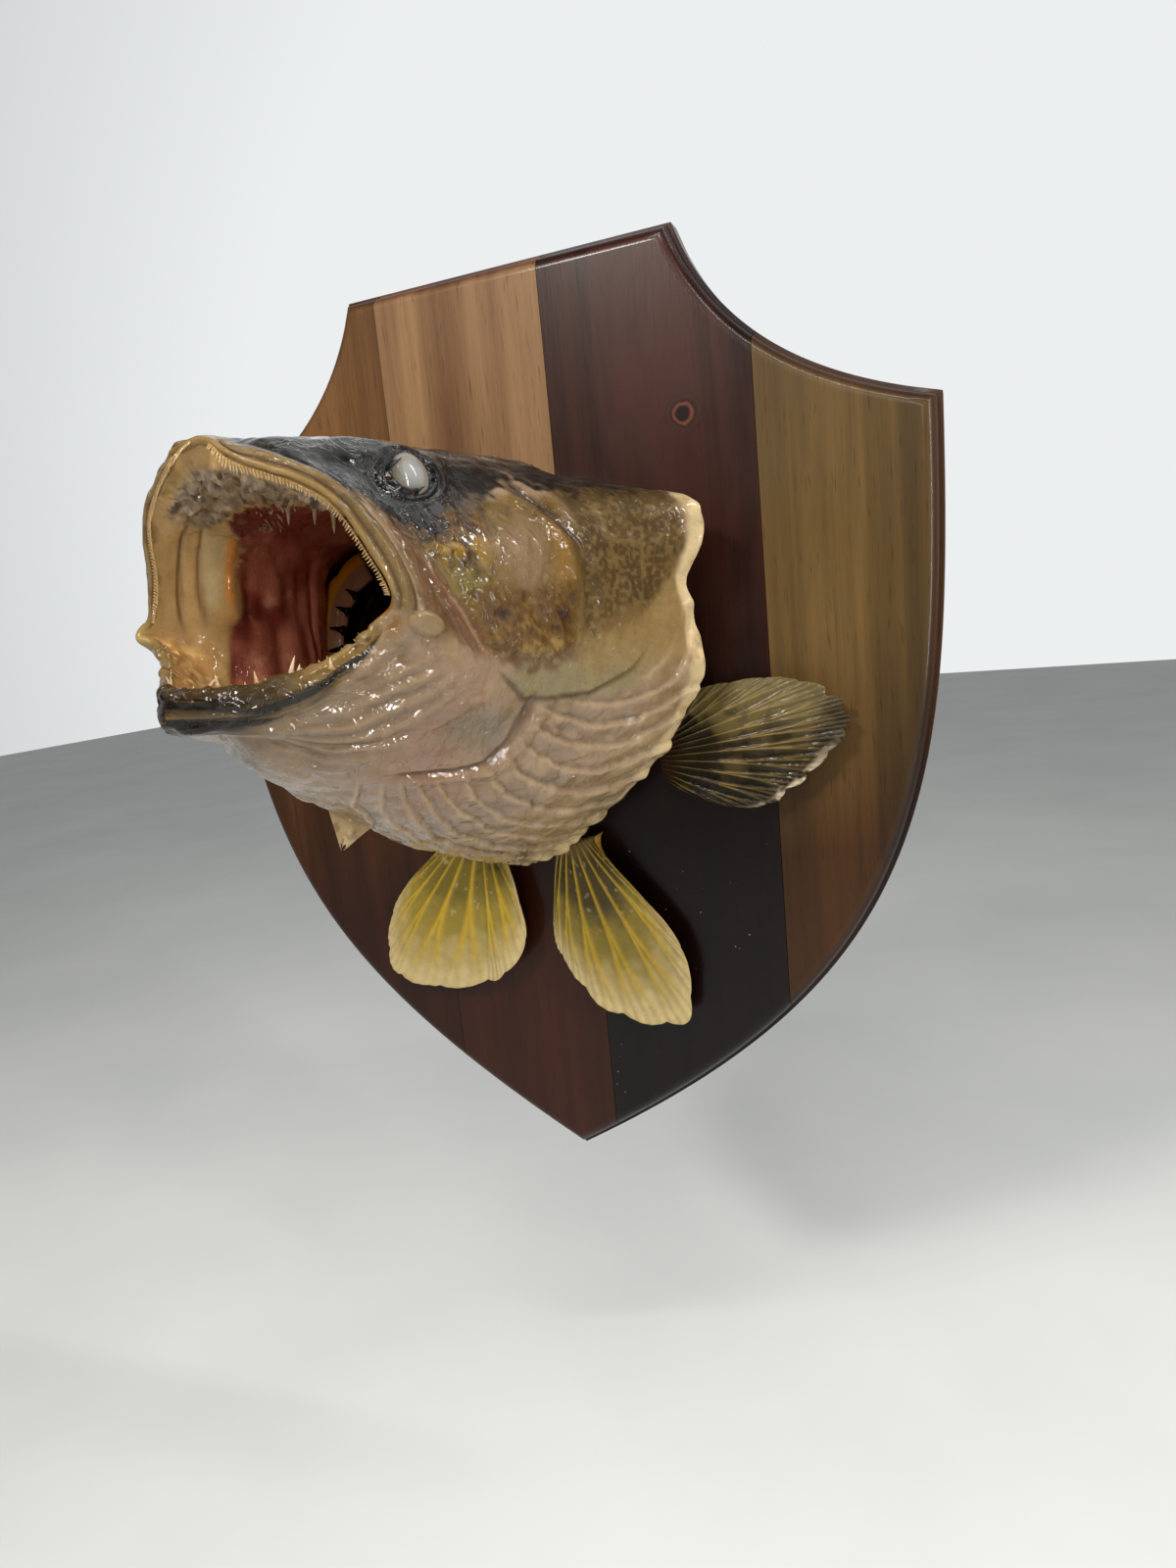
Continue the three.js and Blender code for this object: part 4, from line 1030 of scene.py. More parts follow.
FANGS = np.array([  # the mouth's large single teeth, foot and tip: eight on the palate, five on the lower jaw
    [(-35.0, -200, 123.0), (-35.8, -201, 116.0)],
    [(-10.8, -200, 122.0), (-11.5, -201, 113.8)],
    [(1.6, -200, 121.0), (0.8, -201, 112.4)],
    [(9.6, -200, 117.0), (9.2, -201, 108.2)],
    [(18.9, -200, 111.5), (18.4, -201, 103.6)],
    [(-24.0, -202, 123.0), (-24.6, -203, 119.0)],
    [(-47.0, -201, 121.0), (-47.6, -202, 116.5)],
    [(26.0, -199, 110.0), (25.4, -200, 104.5)],
    [(-32.8, -236, 52.5), (-27.0, -235, 58.0)],
    [(-24.6, -237, 51.0), (-21.9, -236, 54.6)],
    [(8.2, -238, 54.0), (10.0, -236, 62.5)],
    [(11.6, -237, 55.0), (11.2, -235, 59.8)],
    [(24.0, -234, 58.5), (23.4, -233, 61.5)],
])


def build_fangs():
    """The fangs, rooted in the flesh, and the pad of small teeth on the palate."""
    heap = Heap()
    for foot, tip in FANGS:
        root = foot - (tip - foot) * 0.35
        tip = tip + (tip - foot) * 0.12
        add_tooth(heap, root, tip, min(1.7, 0.3 * np.linalg.norm(tip - foot)), (0, -0.8, 0), 12, 10)
    rng = np.random.default_rng(5)
    for _ in range(70):
        t = rng.uniform(-1, 1)
        y = -212 + 20 * t * t + rng.uniform(0, 14)
        foot = np.array([median(y) + 27 * t, y, 120.5 - 5 * t * t])
        tip = foot + np.array([rng.uniform(-0.6, 0.6), 0.6, -rng.uniform(1.2, 2.6)])
        add_tooth(heap, foot, tip, 0.5, (0, 0.4, 0), 6, 5)
    return heap.piece("fangs", "b09a78", "fff6ea")


def build_tongue():
    t = np.linspace(0, 1, 60)[:, None]
    turn = turns(48)
    y = -228 + 68 * t + 0 * turn
    half = 13 * np.sqrt(np.sin(np.pi * (0.12 + 0.5 * t))) * smooth(t, -0.02, 0.12) ** 0.4
    high = 5 * np.sin(np.pi * (0.15 + 0.45 * t))
    groove = 1 - 0.25 * bell(np.cos(turn), 0, 0.25) * (np.sin(turn) > 0)
    p = np.stack([median(y) + half * np.cos(turn), y, 41 - 12 * t + high * np.sin(turn) * groove], -1)
    p = p + 0.8 * fractal(p, 6, 3, 301)[..., None] * np.array([0.2, 0, 1])
    flat, faces = tube(capped(p, p[0].mean(0), p[-1].mean(0)))
    paint = Paint(len(flat), "93584c")
    paint.lay("b98273", smooth(fractal(flat, 8, 3, 302), 0.0, 0.7))
    paint.lay("5a2a22", smooth(fractal(flat, 5, 3, 303), 0.3, 0.8) * 0.7)
    return painted_piece("tongue_skin", flat, faces, paint.rgb, 0.5)


def build_gill_arch(name, side, order):
    """A bony arch with a fleshy face and a comb of dark rakers."""
    rows, columns = 64, 20
    y = -137 + 24 * order
    middle = np.array([median(y), 0, 63 - 3 * order])  # of the arch's round, seen from in front
    width = 3.6 if order else 7.6
    t = np.linspace(-0.42, 0.4, rows)
    centre = np.stack([
        middle[0] + side * (12 + (31 + 4 * order) * np.cos(np.pi * t)),
        y + 16 * np.abs(t),
        middle[2] + 39 * np.sin(np.pi * t),
    ], -1)
    along = unit(np.gradient(centre, axis=0))
    broad = unit(np.cross(along, [0, 1.0, 0]))
    deep = np.cross(along, broad)
    turn = turns(columns)[:, None]
    wide = width * (1 + 0.15 * noise(centre, 6, 5))[:, None, None]
    p = centre[:, None] + wide * np.cos(turn) * broad[:, None] + 2.4 * np.sin(turn) * deep[:, None]
    p = capped(p, centre[0], centre[-1])
    flat = p.reshape(-1, 3)
    middle_radius = np.hypot(*(centre - middle)[:, [0, 2]].T)
    middle_radius = np.repeat(np.concatenate([middle_radius[:1], middle_radius, middle_radius[-1:]]), columns)
    outside = np.hypot(*(flat - middle)[:, [0, 2]].T) - middle_radius
    heap = Heap()
    heap.add(p, smooth(outside + 0.6 * noise(flat, 4, 6), 0.0, 1.8))
    # the second arch, further in, gets darker copies of the first arch's colours: painted shade
    tan, yellow = ("3a2018", "5c3a20") if order else ("b08c70", "e6a81c")
    arch = heap.piece(name, tan, yellow, 0.6)
    rakers = Heap()
    for i in range(4, rows - 4, 7):
        inward = unit(np.array([middle[0] - centre[i, 0], -14, middle[2] - centre[i, 2]]))
        foot = centre[i] + inward * (width + 1.5)
        tip = centre[i] + inward * (width * 0.2 + 1.5 * math.sin(i * 1.7)) + np.array([0, -4.0, 0])
        add_tooth(rakers, foot, tip, 1.7, (0, 0, 0.6))
    return arch, rakers.piece(name + "_rakers", "0c0806", "070504", 0.3)


def build_neck():
    """The stained core under the skull, a rounded block with a rough cut surface."""
    station = np.linspace(4.1, RIM, 40)[:, None]
    half = np.interp(station, range(7), [20, 28, 38, 41, 42, 31, 34]) * 0.9
    top = np.interp(station, range(7), [134, 133, 122, 118, 112, 104, 96]) - 1.4
    across, rise = np.cos(turns(80)), np.sin(turns(80))
    y = netted(RAILS, 0 * station, station)[..., 1] + 0 * across
    x = median(y) + half * np.sign(across) * np.abs(across) ** 0.7
    drop = 33 * (0.5 - 0.5 * np.sign(rise) * np.abs(rise) ** 0.6)
    p = np.stack([x, y, top - 7.2 * across**2 - drop], -1)
    p = before_wall(p + 0.7 * fractal(p, 9, 3, 401)[..., None] * np.array([1, 0, 1]))
    flat, faces = tube(capped(p, p[0].mean(0), p[-1].mean(0)))
    paint = Paint(len(flat), "2c1c14")
    paint.lay("4a3020", smooth(fractal(flat * np.array([1, 0.3, 1]), 6, 3, 402), 0.0, 0.7))
    return painted_piece("neck_core", flat, faces, paint.rgb, 0.0)


def build_flap():
    """The loose tag of membrane that hangs from the far edge of the throat."""
    rows, columns = 50, 30
    front_root, back_root = bare_skin(-1, 8.45, 3.1), bare_skin(-1, 8.75, 3.55)
    tip = np.array([-20.0, -186, -22])
    t, a = np.meshgrid(np.linspace(0, 1, rows), np.linspace(0, 1, columns), indexing="ij")
    start = front_root + a[..., None] * (back_root - front_root)
    reach = t * (1 - 0.22 * np.abs(np.sin(a * np.pi * 2.2)) * t)
    p = start + reach[..., None] * (tip - start)
    ripple = 1.4 * np.sin(a * 9 + t * 3) * t + 0.8 * fractal(p, 6, 3, 501)
    face = np.array([0.4, -0.8, 0.3])
    front, back = (p + (ripple + half)[..., None] * face for half in (0.35, -0.35))
    flat = np.concatenate([front, back[:, ::-1]], 1).reshape(-1, 3)
    paint = Paint(len(flat), "c4b89a")
    paint.lay("8c7c62", smooth(fractal(flat, 5, 3, 502), 0.0, 0.7) * 0.8)
    paint.lay("e2dac2", np.repeat(np.linspace(0, 1, rows), columns * 2) ** 3 * 0.7)
    return mesh_object(
        "flap_skin", flat, grid_faces(rows, columns * 2), paint=paint.rgb, wet=np.full(len(flat), 0.6)
    )


# ------------------------------------------------------------------ fins

PECTORAL_ROOT = [(82, 2), (76, -6), (75, -14), (79, -24)]
PECTORAL_MARGIN = [
    (97, 25), (118, 28), (138, 29), (158, 25), (172, 16), (176, 7), (172, -4), (160, -17), (149, -27), (137, -36),
    (118, -39), (102, -36), (90, -30),
]
LEFT_PELVIC_ROOT = [(34, -54), (26, -56), (18, -58), (10, -61)]
LEFT_PELVIC_MARGIN = [
    (40, -69), (57, -87), (74, -107), (82, -125), (80, -161), (53, -165), (24, -155), (7, -131), (2, -113), (6,
        -84),
]
RIGHT_PELVIC_ROOT = [(-28, -58), (-37, -56), (-50, -56), (-64, -59)]
RIGHT_PELVIC_MARGIN = [
    (-23, -70), (-18, -92), (-16, -118), (-33, -140), (-46, -146), (-81, -152), (-110, -147), (-117, -130),
    (-110, -105), (-96, -86), (-82, -73),
]


def curve(points, count):
    """A centripetal Catmull-Rom curve through points, sampled evenly by segment."""
    points = np.array(points, float)
    made = []
    for t in np.linspace(0, 1, count):
        place = t * (len(points) - 1)
        i = min(int(place), len(points) - 2)
        w = place - i
        p1, p2 = points[i], points[i + 1]
        p0 = points[i - 1] if i > 0 else 2 * p1 - p2
        p3 = points[i + 2] if i + 2 < len(points) else 2 * p2 - p1
        d0, d1, d2 = (max(np.linalg.norm(b - a) ** 0.5, 1e-4) for a, b in ((p0, p1), (p1, p2), (p2, p3)))
        m1 = ((p1 - p0) / d0 - (p2 - p0) / (d0 + d1) + (p2 - p1) / d1) * d1
        m2 = ((p2 - p1) / d1 - (p3 - p1) / (d1 + d2) + (p3 - p2) / d2) * d1
        c2 = -3 * p1 + 3 * p2 - 2 * m1 - m2
        c3 = 2 * p1 - 2 * p2 + m1 + m2
        made.append(p1 + m1 * w + c2 * w**2 + c3 * w**3)
    return np.array(made)


def build_fin(name, root, margin, rays, lift, colours, ragged, curl, seed):
    """A dried fin: forked rays that stand proud of sunken webs, on both faces, with a tattered margin."""
    across, along = 300, 90
    share = np.linspace(0, 1, across)
    inner, outer = curve(root, across), curve(margin, across)
    s, t = np.meshgrid(share, np.linspace(0, 1, along) ** 0.9, indexing="ij")
    part = share * rays - np.floor(share * rays)
    web = 1 - np.abs(2 * part - 1)
    end = 1 - ragged * (0.45 * (1 - web) ** 2 + 0.5 * clamp(line_noise(share * rays * 2.2, 1.0, seed)) ** 2)
    reach = t * end[:, None]
    flat = inner[:, None] + reach[..., None] * (outer - inner)[:, None]
    # rays fork twice on their way to the margin
    fork1, fork2 = 0.25 * smooth(t, 0.3, 0.95), 0.12 * smooth(t, 0.62, 1.0)
    u = np.broadcast_to(part[:, None], t.shape)
    distance = np.min([np.abs(u - 0.5 - a * fork1 - b * fork2) for a in (-1, 1) for b in (-1, 1)], 0)
    ray = np.exp(-((distance / (0.16 - 0.08 * t)) ** 2))
    wave = 0.9 * fractal(np.stack([flat[..., 0], 0 * t, flat[..., 1]], -1), 22, 2, seed + 3) * smooth(t, 0.2, 0.8)
    height = lift(t) + wave + curl(s, t)
    joint = 0.12 * np.sin(t * 70 + 3 * u) * ray * smooth(t, 0.15, 0.4)
    crest = 0.95 * ray * (1 - 0.45 * t) * smooth(t, 0.0, 0.15) + joint - 0.25
    thick = 0.55 + 0.5 * (1 - t)
    free = 1 - clamp(1 - t / 0.3) ** 1.3  # the fin's foot reaches back to the board
    foot = -BOARD_FRONT - 0.3
    back = np.minimum(foot - (height - thick) * free + 0.6 * crest * free, foot)
    front, back = (np.stack([flat[..., 0], y, flat[..., 1]], -1) for y in (foot - height - crest, back))
    points = np.concatenate([front, back[:, ::-1]], 1).reshape(-1, 3)
    caps = []
    for row in (0, across - 1):
        start = row * along * 2
        for i in range(along - 1):
            quad = [start + i, start + i + 1, start + 2 * along - 2 - i, start + 2 * along - 1 - i]
            caps.append(quad if row else quad[::-1])
    faces = np.concatenate([grid_faces(across, along * 2), np.array(caps)])
    faces = turned_out(points - points.mean(0), faces)
    layered = [np.concatenate([v, v[:, ::-1]], 1).ravel() for v in (s, t, ray)]
    wet = clamp(0.4 + 0.4 * fractal(points, 12, 2, seed + 9))
    return painted_piece(name, points, faces, colours(points, *layered), wet)


def pectoral_lift(t):
    return 12 + 3 * np.sin(np.pi * t) - 2 * t


def pelvic_lift(t):
    return 14 + 2 * np.sin(np.pi * t) - 2 * t


def pectoral_curl(s, t):
    return 2.5 * smooth(t, 0.75, 1.0) * bell(s, 0.62, 0.2)


def pelvic_curl(s, t):
    return 1.5 * smooth(t, 0.7, 1.0) * np.sin(s * 7)


def pectoral_colours(points, s, t, ray):
    """Olive and black, with tan rays and a painted silvery highlight on a piece of the margin."""
    n1, n2 = fractal(points, 13, 3, 601), fractal(points, 3.5, 2, 602)
    blotch = smooth(0.35 * n2 - n1, 0.0, 0.3) * bell(t, 0.5, 0.3)
    lower = smooth(s, 0.55, 0.75)
    paint = Paint(len(points), "2b2615")
    paint.lay("5a5230", smooth(n1, 0.0, 0.6) * 0.6)
    paint.lay("7a7450", fall(s, 0.25, 0.5) * smooth(t + 0.2 * n1, 0.35, 0.6) * 0.7)
    paint.lay("14120c", clamp(blotch * (0.4 + 0.6 * lower)) * 0.9)
    paint.lay("0f0e0b", smooth(t + 0.05 * n2, 0.86, 0.95) * band(s, 0.3, 0.95, 0.06) * 0.9)
    paint.lay("12110d", clamp(lower * smooth(t, 0.5, 0.75) + smooth(s, 0.72, 0.85) * smooth(t, 0.3, 0.5)) * 0.8)
    paint.lay("6c684e", fall(s, 0.2, 0.42) * smooth(t, 0.7, 0.92) * 0.7)
    paint.lay("a08f54", ray**4.5 * (1 - 0.7 * smooth(t, 0.6, 0.95)) * (0.85 - 0.55 * blotch))
    # a painted silvery highlight on the lower margin
    paint.lay("eceae0", smooth(t, 0.92, 0.975) * bell(s, 0.66, 0.12) * smooth(n2, -0.6, 0.2) * 0.85)
    paint.lay("3d2714", fall(t, 0.06, 0.2) * 0.85)
    return paint.rgb


def pelvic_colours(leading_edge, web):
    """Yellow forked rays over olive webs, paler and creamier towards the margin."""

    def colours(points, s, t, ray):
        n1, n2 = fractal(points, 12, 3, 611), fractal(points, 3.0, 2, 612)
        edge = s if leading_edge else 1 - s
        paint = Paint(len(points), web)
        paint.lay("4c4626", smooth(n1 + 0.4 * n2, 0.0, 0.7) * fall(t, 0.35, 0.6) * 0.75)
        paint.lay("a89f4e", smooth(t + 0.08 * n1, 0.3, 0.55) * 0.8)
        paint.lay("c6bd8c", smooth(t + 0.06 * n1, 0.58, 0.76) * 0.85)
        paint.lay("dfd9b6", smooth(t + 0.05 * n1, 0.78, 0.95) * 0.85)
        paint.lay("d2bc42", ray**1.5 * (1 - smooth(t, 0.62, 0.9) * 0.75) * 0.9)
        paint.lay("c0912c", smooth(edge, 0.9, 0.99) * fall(t, 0.6, 0.95) * 0.8)
        paint.lay("e8e4cc", smooth(n2, 0.82, 0.95) * (1 - ray) * fall(t, 0.4, 0.6) * 0.35)
        paint.lay("7d7048", fall(t, 0.03, 0.14) * 0.7)
        return paint.rgb

    return colours


# ------------------------------------------------------------------ board

HALF_WIDTH, HALF_HEIGHT = 222, 257
TOP_CORNER, SHOULDER = (97, 257), (222, 156)
SHARP = math.radians(28)  # edges sharper than this stay crisp


def bezier(*points, count):
    """Points along a curve of any degree."""
    t = np.linspace(0, 1, count)[:, None]
    degree = len(points) - 1
    total = 0.0
    for i, point in enumerate(points):
        total = total + math.comb(degree, i) * (1 - t) ** (degree - i) * t**i * np.array(point, float)
    return total


def board_outline():
    right = np.concatenate([
        bezier((0, HALF_HEIGHT), (48, HALF_HEIGHT), TOP_CORNER, count=18)[:-1],
        bezier(TOP_CORNER, (122, 182), SHOULDER, count=60)[:-1],
        bezier(SHOULDER, (222, -50), (207, -137), (0, -HALF_HEIGHT), count=140),
    ])
    outline = np.concatenate([right, right[1:-1][::-1] * np.array([-1, 1])])
    keep = np.ones(len(outline), bool)
    for corner in (TOP_CORNER, SHOULDER, (0, -HALF_HEIGHT), (-222, 156), (-97, 257)):
        away = np.linalg.norm(outline - np.array(corner), axis=1)
        keep &= (away > 11) | (away < 0.01)  # no short edges beside a corner, so that the moulding mitres cleanly
    return outline[keep]


def inset(outline, distance):
    """The outline moved inwards by the same distance all round."""
    into, away = unit(outline - np.roll(outline, 1, 0)), unit(np.roll(outline, -1, 0) - outline)
    n1, n2 = (np.stack([v[:, 1], -v[:, 0]], -1) for v in (into, away))
    mitre = unit(n1 + n2)
    return outline + mitre * (distance / np.maximum((mitre * n1).sum(1), 0.3))[:, None]


def board_mesh():
    """The whole blank, as rings from its back to its front: a flat edge, a small step and a round."""
    outline = board_outline()
    profile = [(0.7, 0.0), (0.0, 0.7), (0.0, 4.0), (0.0, 10.6), (0.25, 11.0), (2.0, 11.25), (2.2, 11.6)]
    for turn in np.linspace(0, np.pi / 2, 10)[1:]:
        profile.append((2.2 + 6.8 * (1 - math.cos(turn)), 11.6 + 7.4 * math.sin(turn)))
    profile.append((9.3, BOARD_FRONT))
    count = len(outline)
    rings = [np.insert(inset(outline, across), 1, -height, axis=1) for across, height in profile]
    faces = grid_faces(len(profile), count).tolist()
    last = (len(profile) - 1) * count
    faces += [list(range(count)), list(range(last, last + count))[::-1]]
    return np.concatenate(rings), faces


def build_strip(name, left, right):
    """One board of the shield, cut from the whole blank along its glue lines."""
    piece = mesh_object(name, *board_mesh())
    bm = bmesh.new()
    bm.from_mesh(piece.data)
    bmesh.ops.recalc_face_normals(bm, faces=bm.faces)
    for x, direction in ((left, -1), (right, 1)):
        if abs(x) > HALF_WIDTH:
            continue
        cut = bmesh.ops.bisect_plane(
            bm, geom=bm.verts[:] + bm.edges[:] + bm.faces[:], dist=1e-7,
            plane_co=(x * MM, 0, 0), plane_no=(direction, 0, 0), clear_outer=True,
        )
        bmesh.ops.contextual_create(bm, geom=[e for e in cut["geom_cut"] if isinstance(e, bmesh.types.BMEdge)])
    bmesh.ops.recalc_face_normals(bm, faces=bm.faces)
    for face in bm.faces:  # the big flat faces are shaded flat
        face.smooth = len(face.verts) <= 4
    bm.to_mesh(piece.data)
    bm.free()
    piece.data.set_sharp_from_angle(angle=SHARP)
    return piece


KNOT = (0.098, -0.019, 0.164)
KNOT_RINGS = [(0.0, "0a0504"), (0.35, "140906"), (0.5, "6a3a28"), (0.65, "1a0c08"), (0.8, "3c2018"),
    (1.0, "1c0e0a")]


def figure(s, base, height):
    """The dark board's reddish streaks, its knot and the dust on its foot."""
    streaks = s.noise(16, 4, 0.6, stretch=(1.0, 1.0, 0.16), distortion=0.8)
    high = s.span(height, 0.02, 0.2, 0.0, 0.75)
    base = s.mix(s.math("MULTIPLY", s.span(streaks, 0.52, 0.64, 0.0, 1.0), high, clip=True), base, "42231a")
    offset = s.node("ShaderNodeVectorMath", operation="DISTANCE")
    s.put(offset.inputs[0], s.place)
    s.put(offset.inputs[1], KNOT)
    rings = s.math("ADD", offset.outputs["Value"], s.span(s.noise(60, 3), 0.3, 0.7, -0.002, 0.002))
    knot = s.ramp(s.math("MULTIPLY", rings, 100.0), KNOT_RINGS)
    base = s.mix(s.span(rings, 0.006, 0.011, 0.9, 0.0), base, knot)
    specks = s.span(s.node("ShaderNodeTexVoronoi", Vector=s.place, Scale=210).outputs["Distance"], 0.0, 0.09, 1.0,
        0.0)
    dusty = s.math("MULTIPLY", specks, s.span(s.noise(30, 2, 0.5), 0.52, 0.6, 0.0, 0.9), clip=True)
    return s.mix(s.math("MULTIPLY", dusty, s.span(height, 0.05, -0.02, 0.0, 1.0)), base, "c8c4bc")


def wood_material(name, tones, foot_shade_tint, heights, gloss, figured):
    """Lacquered hardwood: growth lines along Z, pores, slow colour drift, a foot darkened as painted shade, and
    worn lacquer.
    """
    s = Shader(name)
    dark, middle, light = tones
    slow = s.noise(6, 3, 0.5, stretch=(1.0, 1.0, 0.22))
    lines = s.noise(38, 6, 0.62, stretch=(1.0, 1.0, 0.045), distortion=0.25)
    fibres = s.noise(330, 4, 0.6, stretch=(1.0, 1.0, 0.03))
    pores = s.noise(900, 2, 0.5, stretch=(1.0, 1.0, 0.06))
    axes = s.node("ShaderNodeSeparateXYZ", Vector=s.place).outputs
    base = s.ramp(lines, [(0.3, dark), (0.5, middle), (0.7, light)])
    base = s.mix(s.span(slow, 0.35, 0.65, 0.0, 0.5), base, s.times(base, "b09078"))
    base = s.mix(s.span(fibres, 0.5, 0.8, 0.0, 0.45), base, dark)
    base = s.mix(s.span(pores, 0.62, 0.72, 0.0, 0.5), base, s.times(base, "6a5a50"))
    height = s.math("ADD", axes["Z"], s.span(slow, 0.3, 0.7, -0.04, 0.04))
    # the foot is darkened: painted shade
    base = s.mix(s.span(height, *heights, 1.0, 0.0), base, s.times(base, foot_shade_tint))
    if figured:
        base = figure(s, base, axes["Z"])
    moulding = s.span(axes["Y"], -0.0188, -0.0172, 0.0, 0.8)
    base = s.mix(moulding, base, s.times(base, "8c5038"))
    s.relief("Normal", (lines, 0.12, 0.0004), (fibres, 0.16, 0.0004), (pores, 0.2, 0.0004))
    return s.set(
        Base_Color=base,
        Roughness=s.span(s.noise(14, 4, 0.6), 0.3, 0.7, gloss, gloss + 0.16),
        Coat_Weight=0.18,
        Coat_Roughness=0.14,
        Specular_IOR_Level=0.16,
    )


# ------------------------------------------------------------------ making it


def finished(piece, material, slot, *nodes):
    piece.data.materials.append(material)
    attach(piece, "root")
    if nodes:
        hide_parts(*nodes)


FLESH = ["skull", "palate", "mouth_floor"]  # with the paired nodes of flesh, all under the one skin
PAIRED_FLESH = (
    "premaxilla", "maxilla", "lower_jaw", "cheek", "preopercle", "opercle", "subopercle",
    "throat", "gill_membrane", "interopercle", "mouth_wall",
)
FLESH += [f"{part}_{label}" for label in ("left", "right") for part in PAIRED_FLESH]

fish_skin = painted_material("fish_skin", (0.34, 0.6), 1.0, flow=0.9, bump=0.5, scatter=0.03)
finished(build_skin(), fish_skin, "cheek", *FLESH)

bone = painted_material("tooth_bone", (0.15, 0.3), 0.6, 1400.0, 0.12, 0.1)
eye_glass = painted_material("cloudy_eye", (0.3, 0.45), 0.35, 2200.0, 0.03, 0.0, 0.06)
inner_skin = painted_material("inner_skin", (0.25, 0.45), 0.7, flow=0.4)
fin_skin = painted_material("fin_skin", (0.28, 0.5), 0.6, 1200.0, 0.25, 0.03, flow=0.3)
core = painted_material("stained_core", (0.6, 0.8), 0.0, 500.0, 0.4, 0.0)

for label, side in (("left", 1), ("right", -1)):
    finished(build_eye(f"eyeball_{label}", side), eye_glass, "eye", f"eye_{label}")
    finished(build_lip_teeth(f"lip_teeth_{label}", side), bone, "premaxilla")
    finished(build_jaw_teeth(f"jaw_teeth_{label}", side), bone, "lower_jaw")
    for order in (0, 1):
        arch, comb = build_gill_arch(f"arch_{label}_{order + 1}", side, order)
        finished(arch, inner_skin, "gill_arch", f"gill_arch_{label}_{order + 1}")
        finished(comb, inner_skin, "gill_arch")
finished(build_fangs(), bone, "palate")
finished(build_tongue(), inner_skin, "tongue", "tongue")
finished(build_neck(), core, "neck_block", "neck_block")
finished(build_flap(), inner_skin, "membrane_flap", "membrane_flap_right")

for label, side in (("left", 1), ("right", -1)):
    root, margin = ([(side * x, z) for x, z in points] for points in (PECTORAL_ROOT, PECTORAL_MARGIN))
    fin = build_fin(
        f"fin_pectoral_{label}", root, margin, 13, pectoral_lift, pectoral_colours, 0.07, pectoral_curl, 31
    )
    finished(fin, fin_skin, "pectoral_fin", f"pectoral_fin_{label}")
for label, root, margin, leading_edge, web, ragged, seed in (
    ("left", LEFT_PELVIC_ROOT, LEFT_PELVIC_MARGIN, False, "5a553a", 0.06, 47),
    ("right", RIGHT_PELVIC_ROOT, RIGHT_PELVIC_MARGIN, True, "7f7838", 0.05, 53),
):
    colours = pelvic_colours(leading_edge, web)
    fin = build_fin(f"fin_pelvic_{label}", root, margin, 10, pelvic_lift, colours, ragged, pelvic_curl, seed)
    finished(fin, fin_skin, "pelvic_fin", f"pelvic_fin_{label}")

# the tint of the foot is painted shade
STRIPS = [  # left and right edges, tones, tint of the foot and the heights where it starts and ends, gloss, figured
    (-230, -76.15, ("402812", "5e3f20", "76522e"), "8c6450", (-0.12, 0.1), 0.36, False),
    (-75.85, 24.85, ("5c3c22", "806040", "987650"), "7c5236", (-0.02, 0.15), 0.34, False),
    (25.15, 134.85, ("180b07", "2a150e", "3c1f12"), "6c4c3c", (-0.06, 0.08), 0.26, True),
    (135.15, 230, ("40321a", "5f4b28", "7a6036"), "967a5c", (-0.06, 0.06), 0.34, False),
]
for i, (left, right, *looks) in enumerate(STRIPS, 1):
    strip = build_strip(f"board_strip_{i}", left, right)
    finished(strip, wood_material(f"wood_{i}", *looks), f"plaque_strip_{i}", f"plaque_strip_{i}")

# ------------------------------------------------------------------ floor, light and camera

scene = bpy.context.scene
floor_grid = bmesh.new()
bmesh.ops.create_grid(floor_grid, x_segments=8, y_segments=8, size=6)
floor_mesh = bpy.data.meshes.new("floor")
floor_grid.to_mesh(floor_mesh)
floor_grid.free()
floor = bpy.data.objects.new("floor", floor_mesh)
floor.location = (0, 0, -0.5)
scene.collection.objects.link(floor)
ground = Shader("pale_floor")
pale = ground.ramp(ground.noise(3, 4), [(0.3, "d9dbd9"), (0.7, "e3e4e2")])
floor.data.materials.append(ground.set(Base_Color=pale, Roughness=0.8))

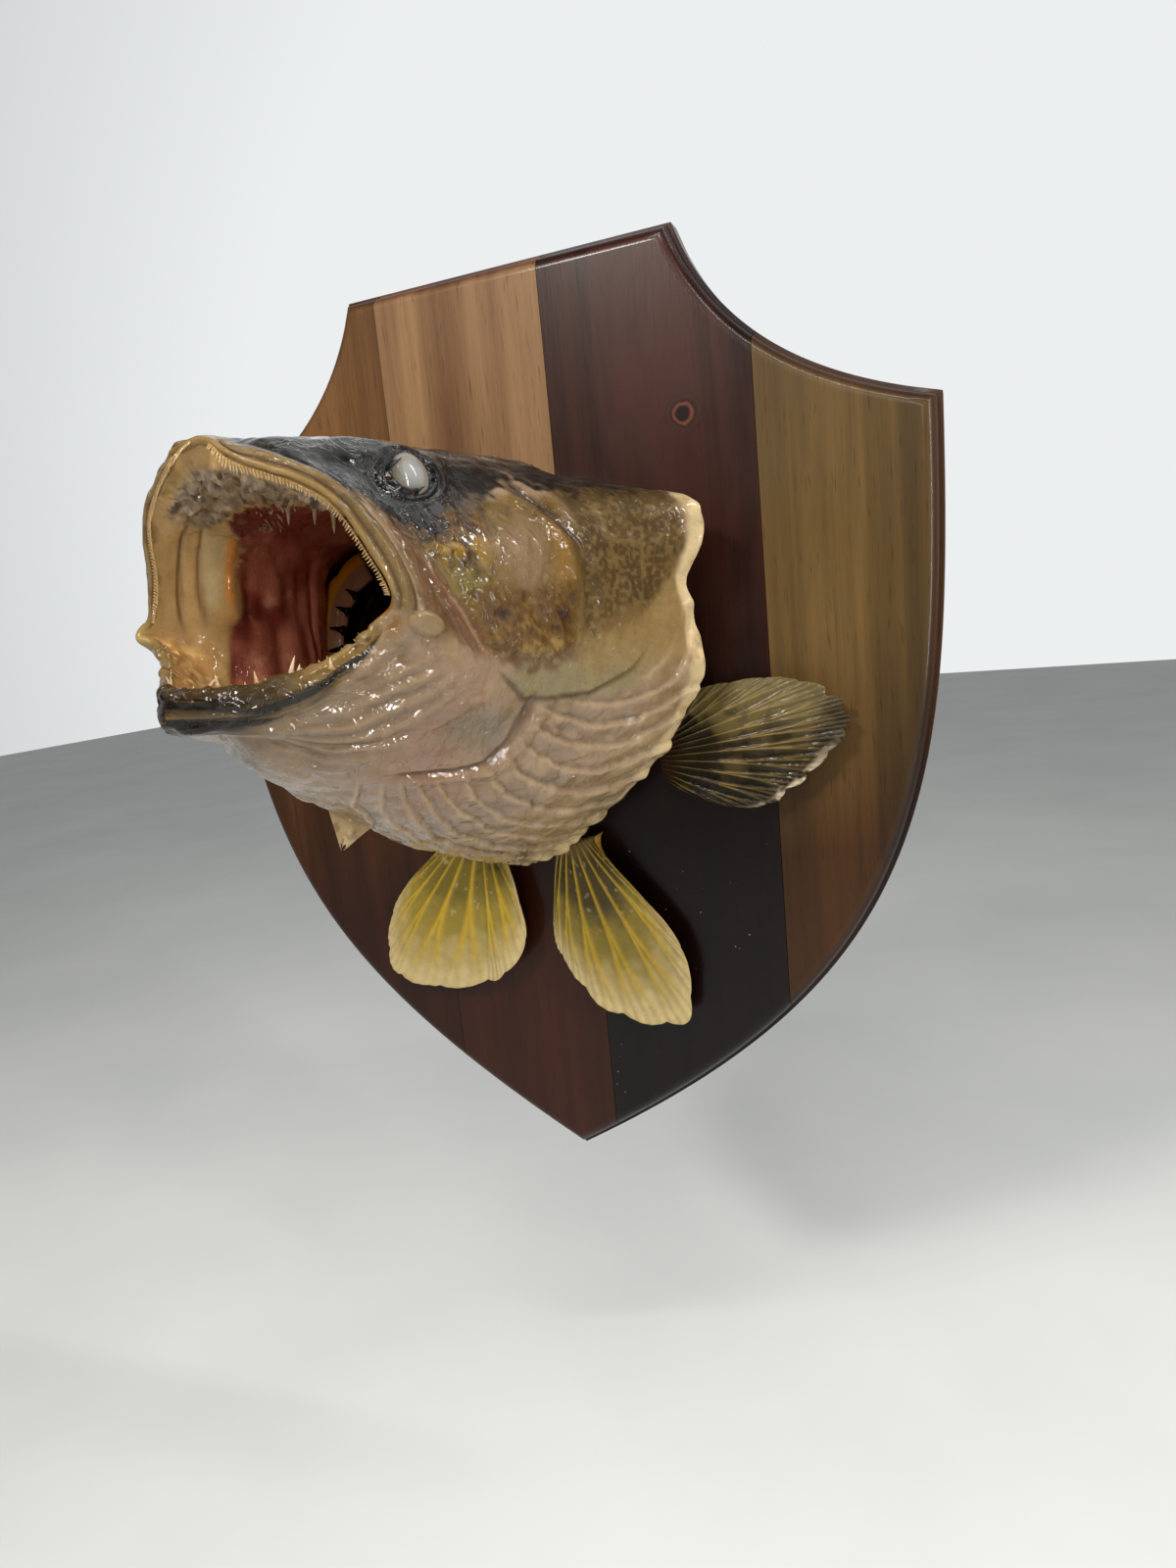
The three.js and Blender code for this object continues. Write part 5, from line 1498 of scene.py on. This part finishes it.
# the studio is bright towards the wall and dim behind the camera
world = bpy.data.worlds.new("studio")
scene.world = world
world.use_nodes = True
sky = world.node_tree.nodes
facing = sky.new("ShaderNodeSeparateXYZ")
spread = sky.new("ShaderNodeMapRange")
for key, number in (("From Min", 0.0), ("From Max", 0.75), ("To Min", 0.07), ("To Max", 1.0)):
    spread.inputs[key].default_value = number
for output, socket in (
    (sky.new("ShaderNodeTexCoord").outputs["Generated"], facing.inputs[0]),
    (facing.outputs["Y"], spread.inputs["Value"]),
    (spread.outputs["Result"], sky["Background"].inputs["Strength"]),
):
    world.node_tree.links.new(output, socket)
sky["Background"].inputs["Color"].default_value = (0.84, 0.86, 0.87, 1)

LAMPS_AIM = Vector((0, -0.1, 0.05))
LAMPS = [  # name, place and size in metres, watts and tint
    ("key", (-0.45, -1.4, 1.0), (0.3, 0.2), 17, (1.0, 0.97, 0.92)),
    ("tube_right", (1.3, -0.6, 0.3), (0.03, 1.1), 12, (1.0, 0.98, 0.96)),
    ("tube_wall", (1.0, 0.1, 0.75), (0.06, 0.6), 5, (1.0, 0.98, 0.96)),
    ("tube_top", (0.25, -0.9, 1.25), (1.0, 0.05), 9, (1.0, 0.98, 0.95)),
    ("tube_front", (0.35, -1.7, 0.75), (0.05, 0.8), 5, (1.0, 0.98, 0.96)),
]
for name, place, size, watts, tint in LAMPS:
    lamp = bpy.data.lights.new(name, "AREA")
    lamp.shape = "RECTANGLE"
    lamp.size, lamp.size_y = size
    lamp.energy = watts
    lamp.color = tint
    made = bpy.data.objects.new(name, lamp)
    made.location = place
    made.rotation_euler = (LAMPS_AIM - Vector(place)).to_track_quat("-Z", "Y").to_euler()
    scene.collection.objects.link(made)

CAMERA_PLACE = (0.2370, -0.5167, 0.0676)
CAMERA_RIGHT, CAMERA_UP, CAMERA_AHEAD = (0.9236, 0.3719, -0.0930), (0.0206, 0.1941, 0.9808), (-0.3828, 0.9077,
    -0.1716)
camera = bpy.data.objects.new("camera", bpy.data.cameras.new("camera"))
camera.data.lens = 22.06
camera.data.sensor_width = 36
camera.data.sensor_fit = "AUTO"
camera.data.clip_start = 0.01
camera.matrix_world = Matrix([
    [right, up, -ahead, place]
    for right, up, ahead, place in zip(CAMERA_RIGHT, CAMERA_UP, CAMERA_AHEAD, CAMERA_PLACE)
] + [[0, 0, 0, 1]])
scene.collection.objects.link(camera)
scene.camera = camera

scene.view_settings.view_transform = "Standard"  # so that colours compare with the photo's
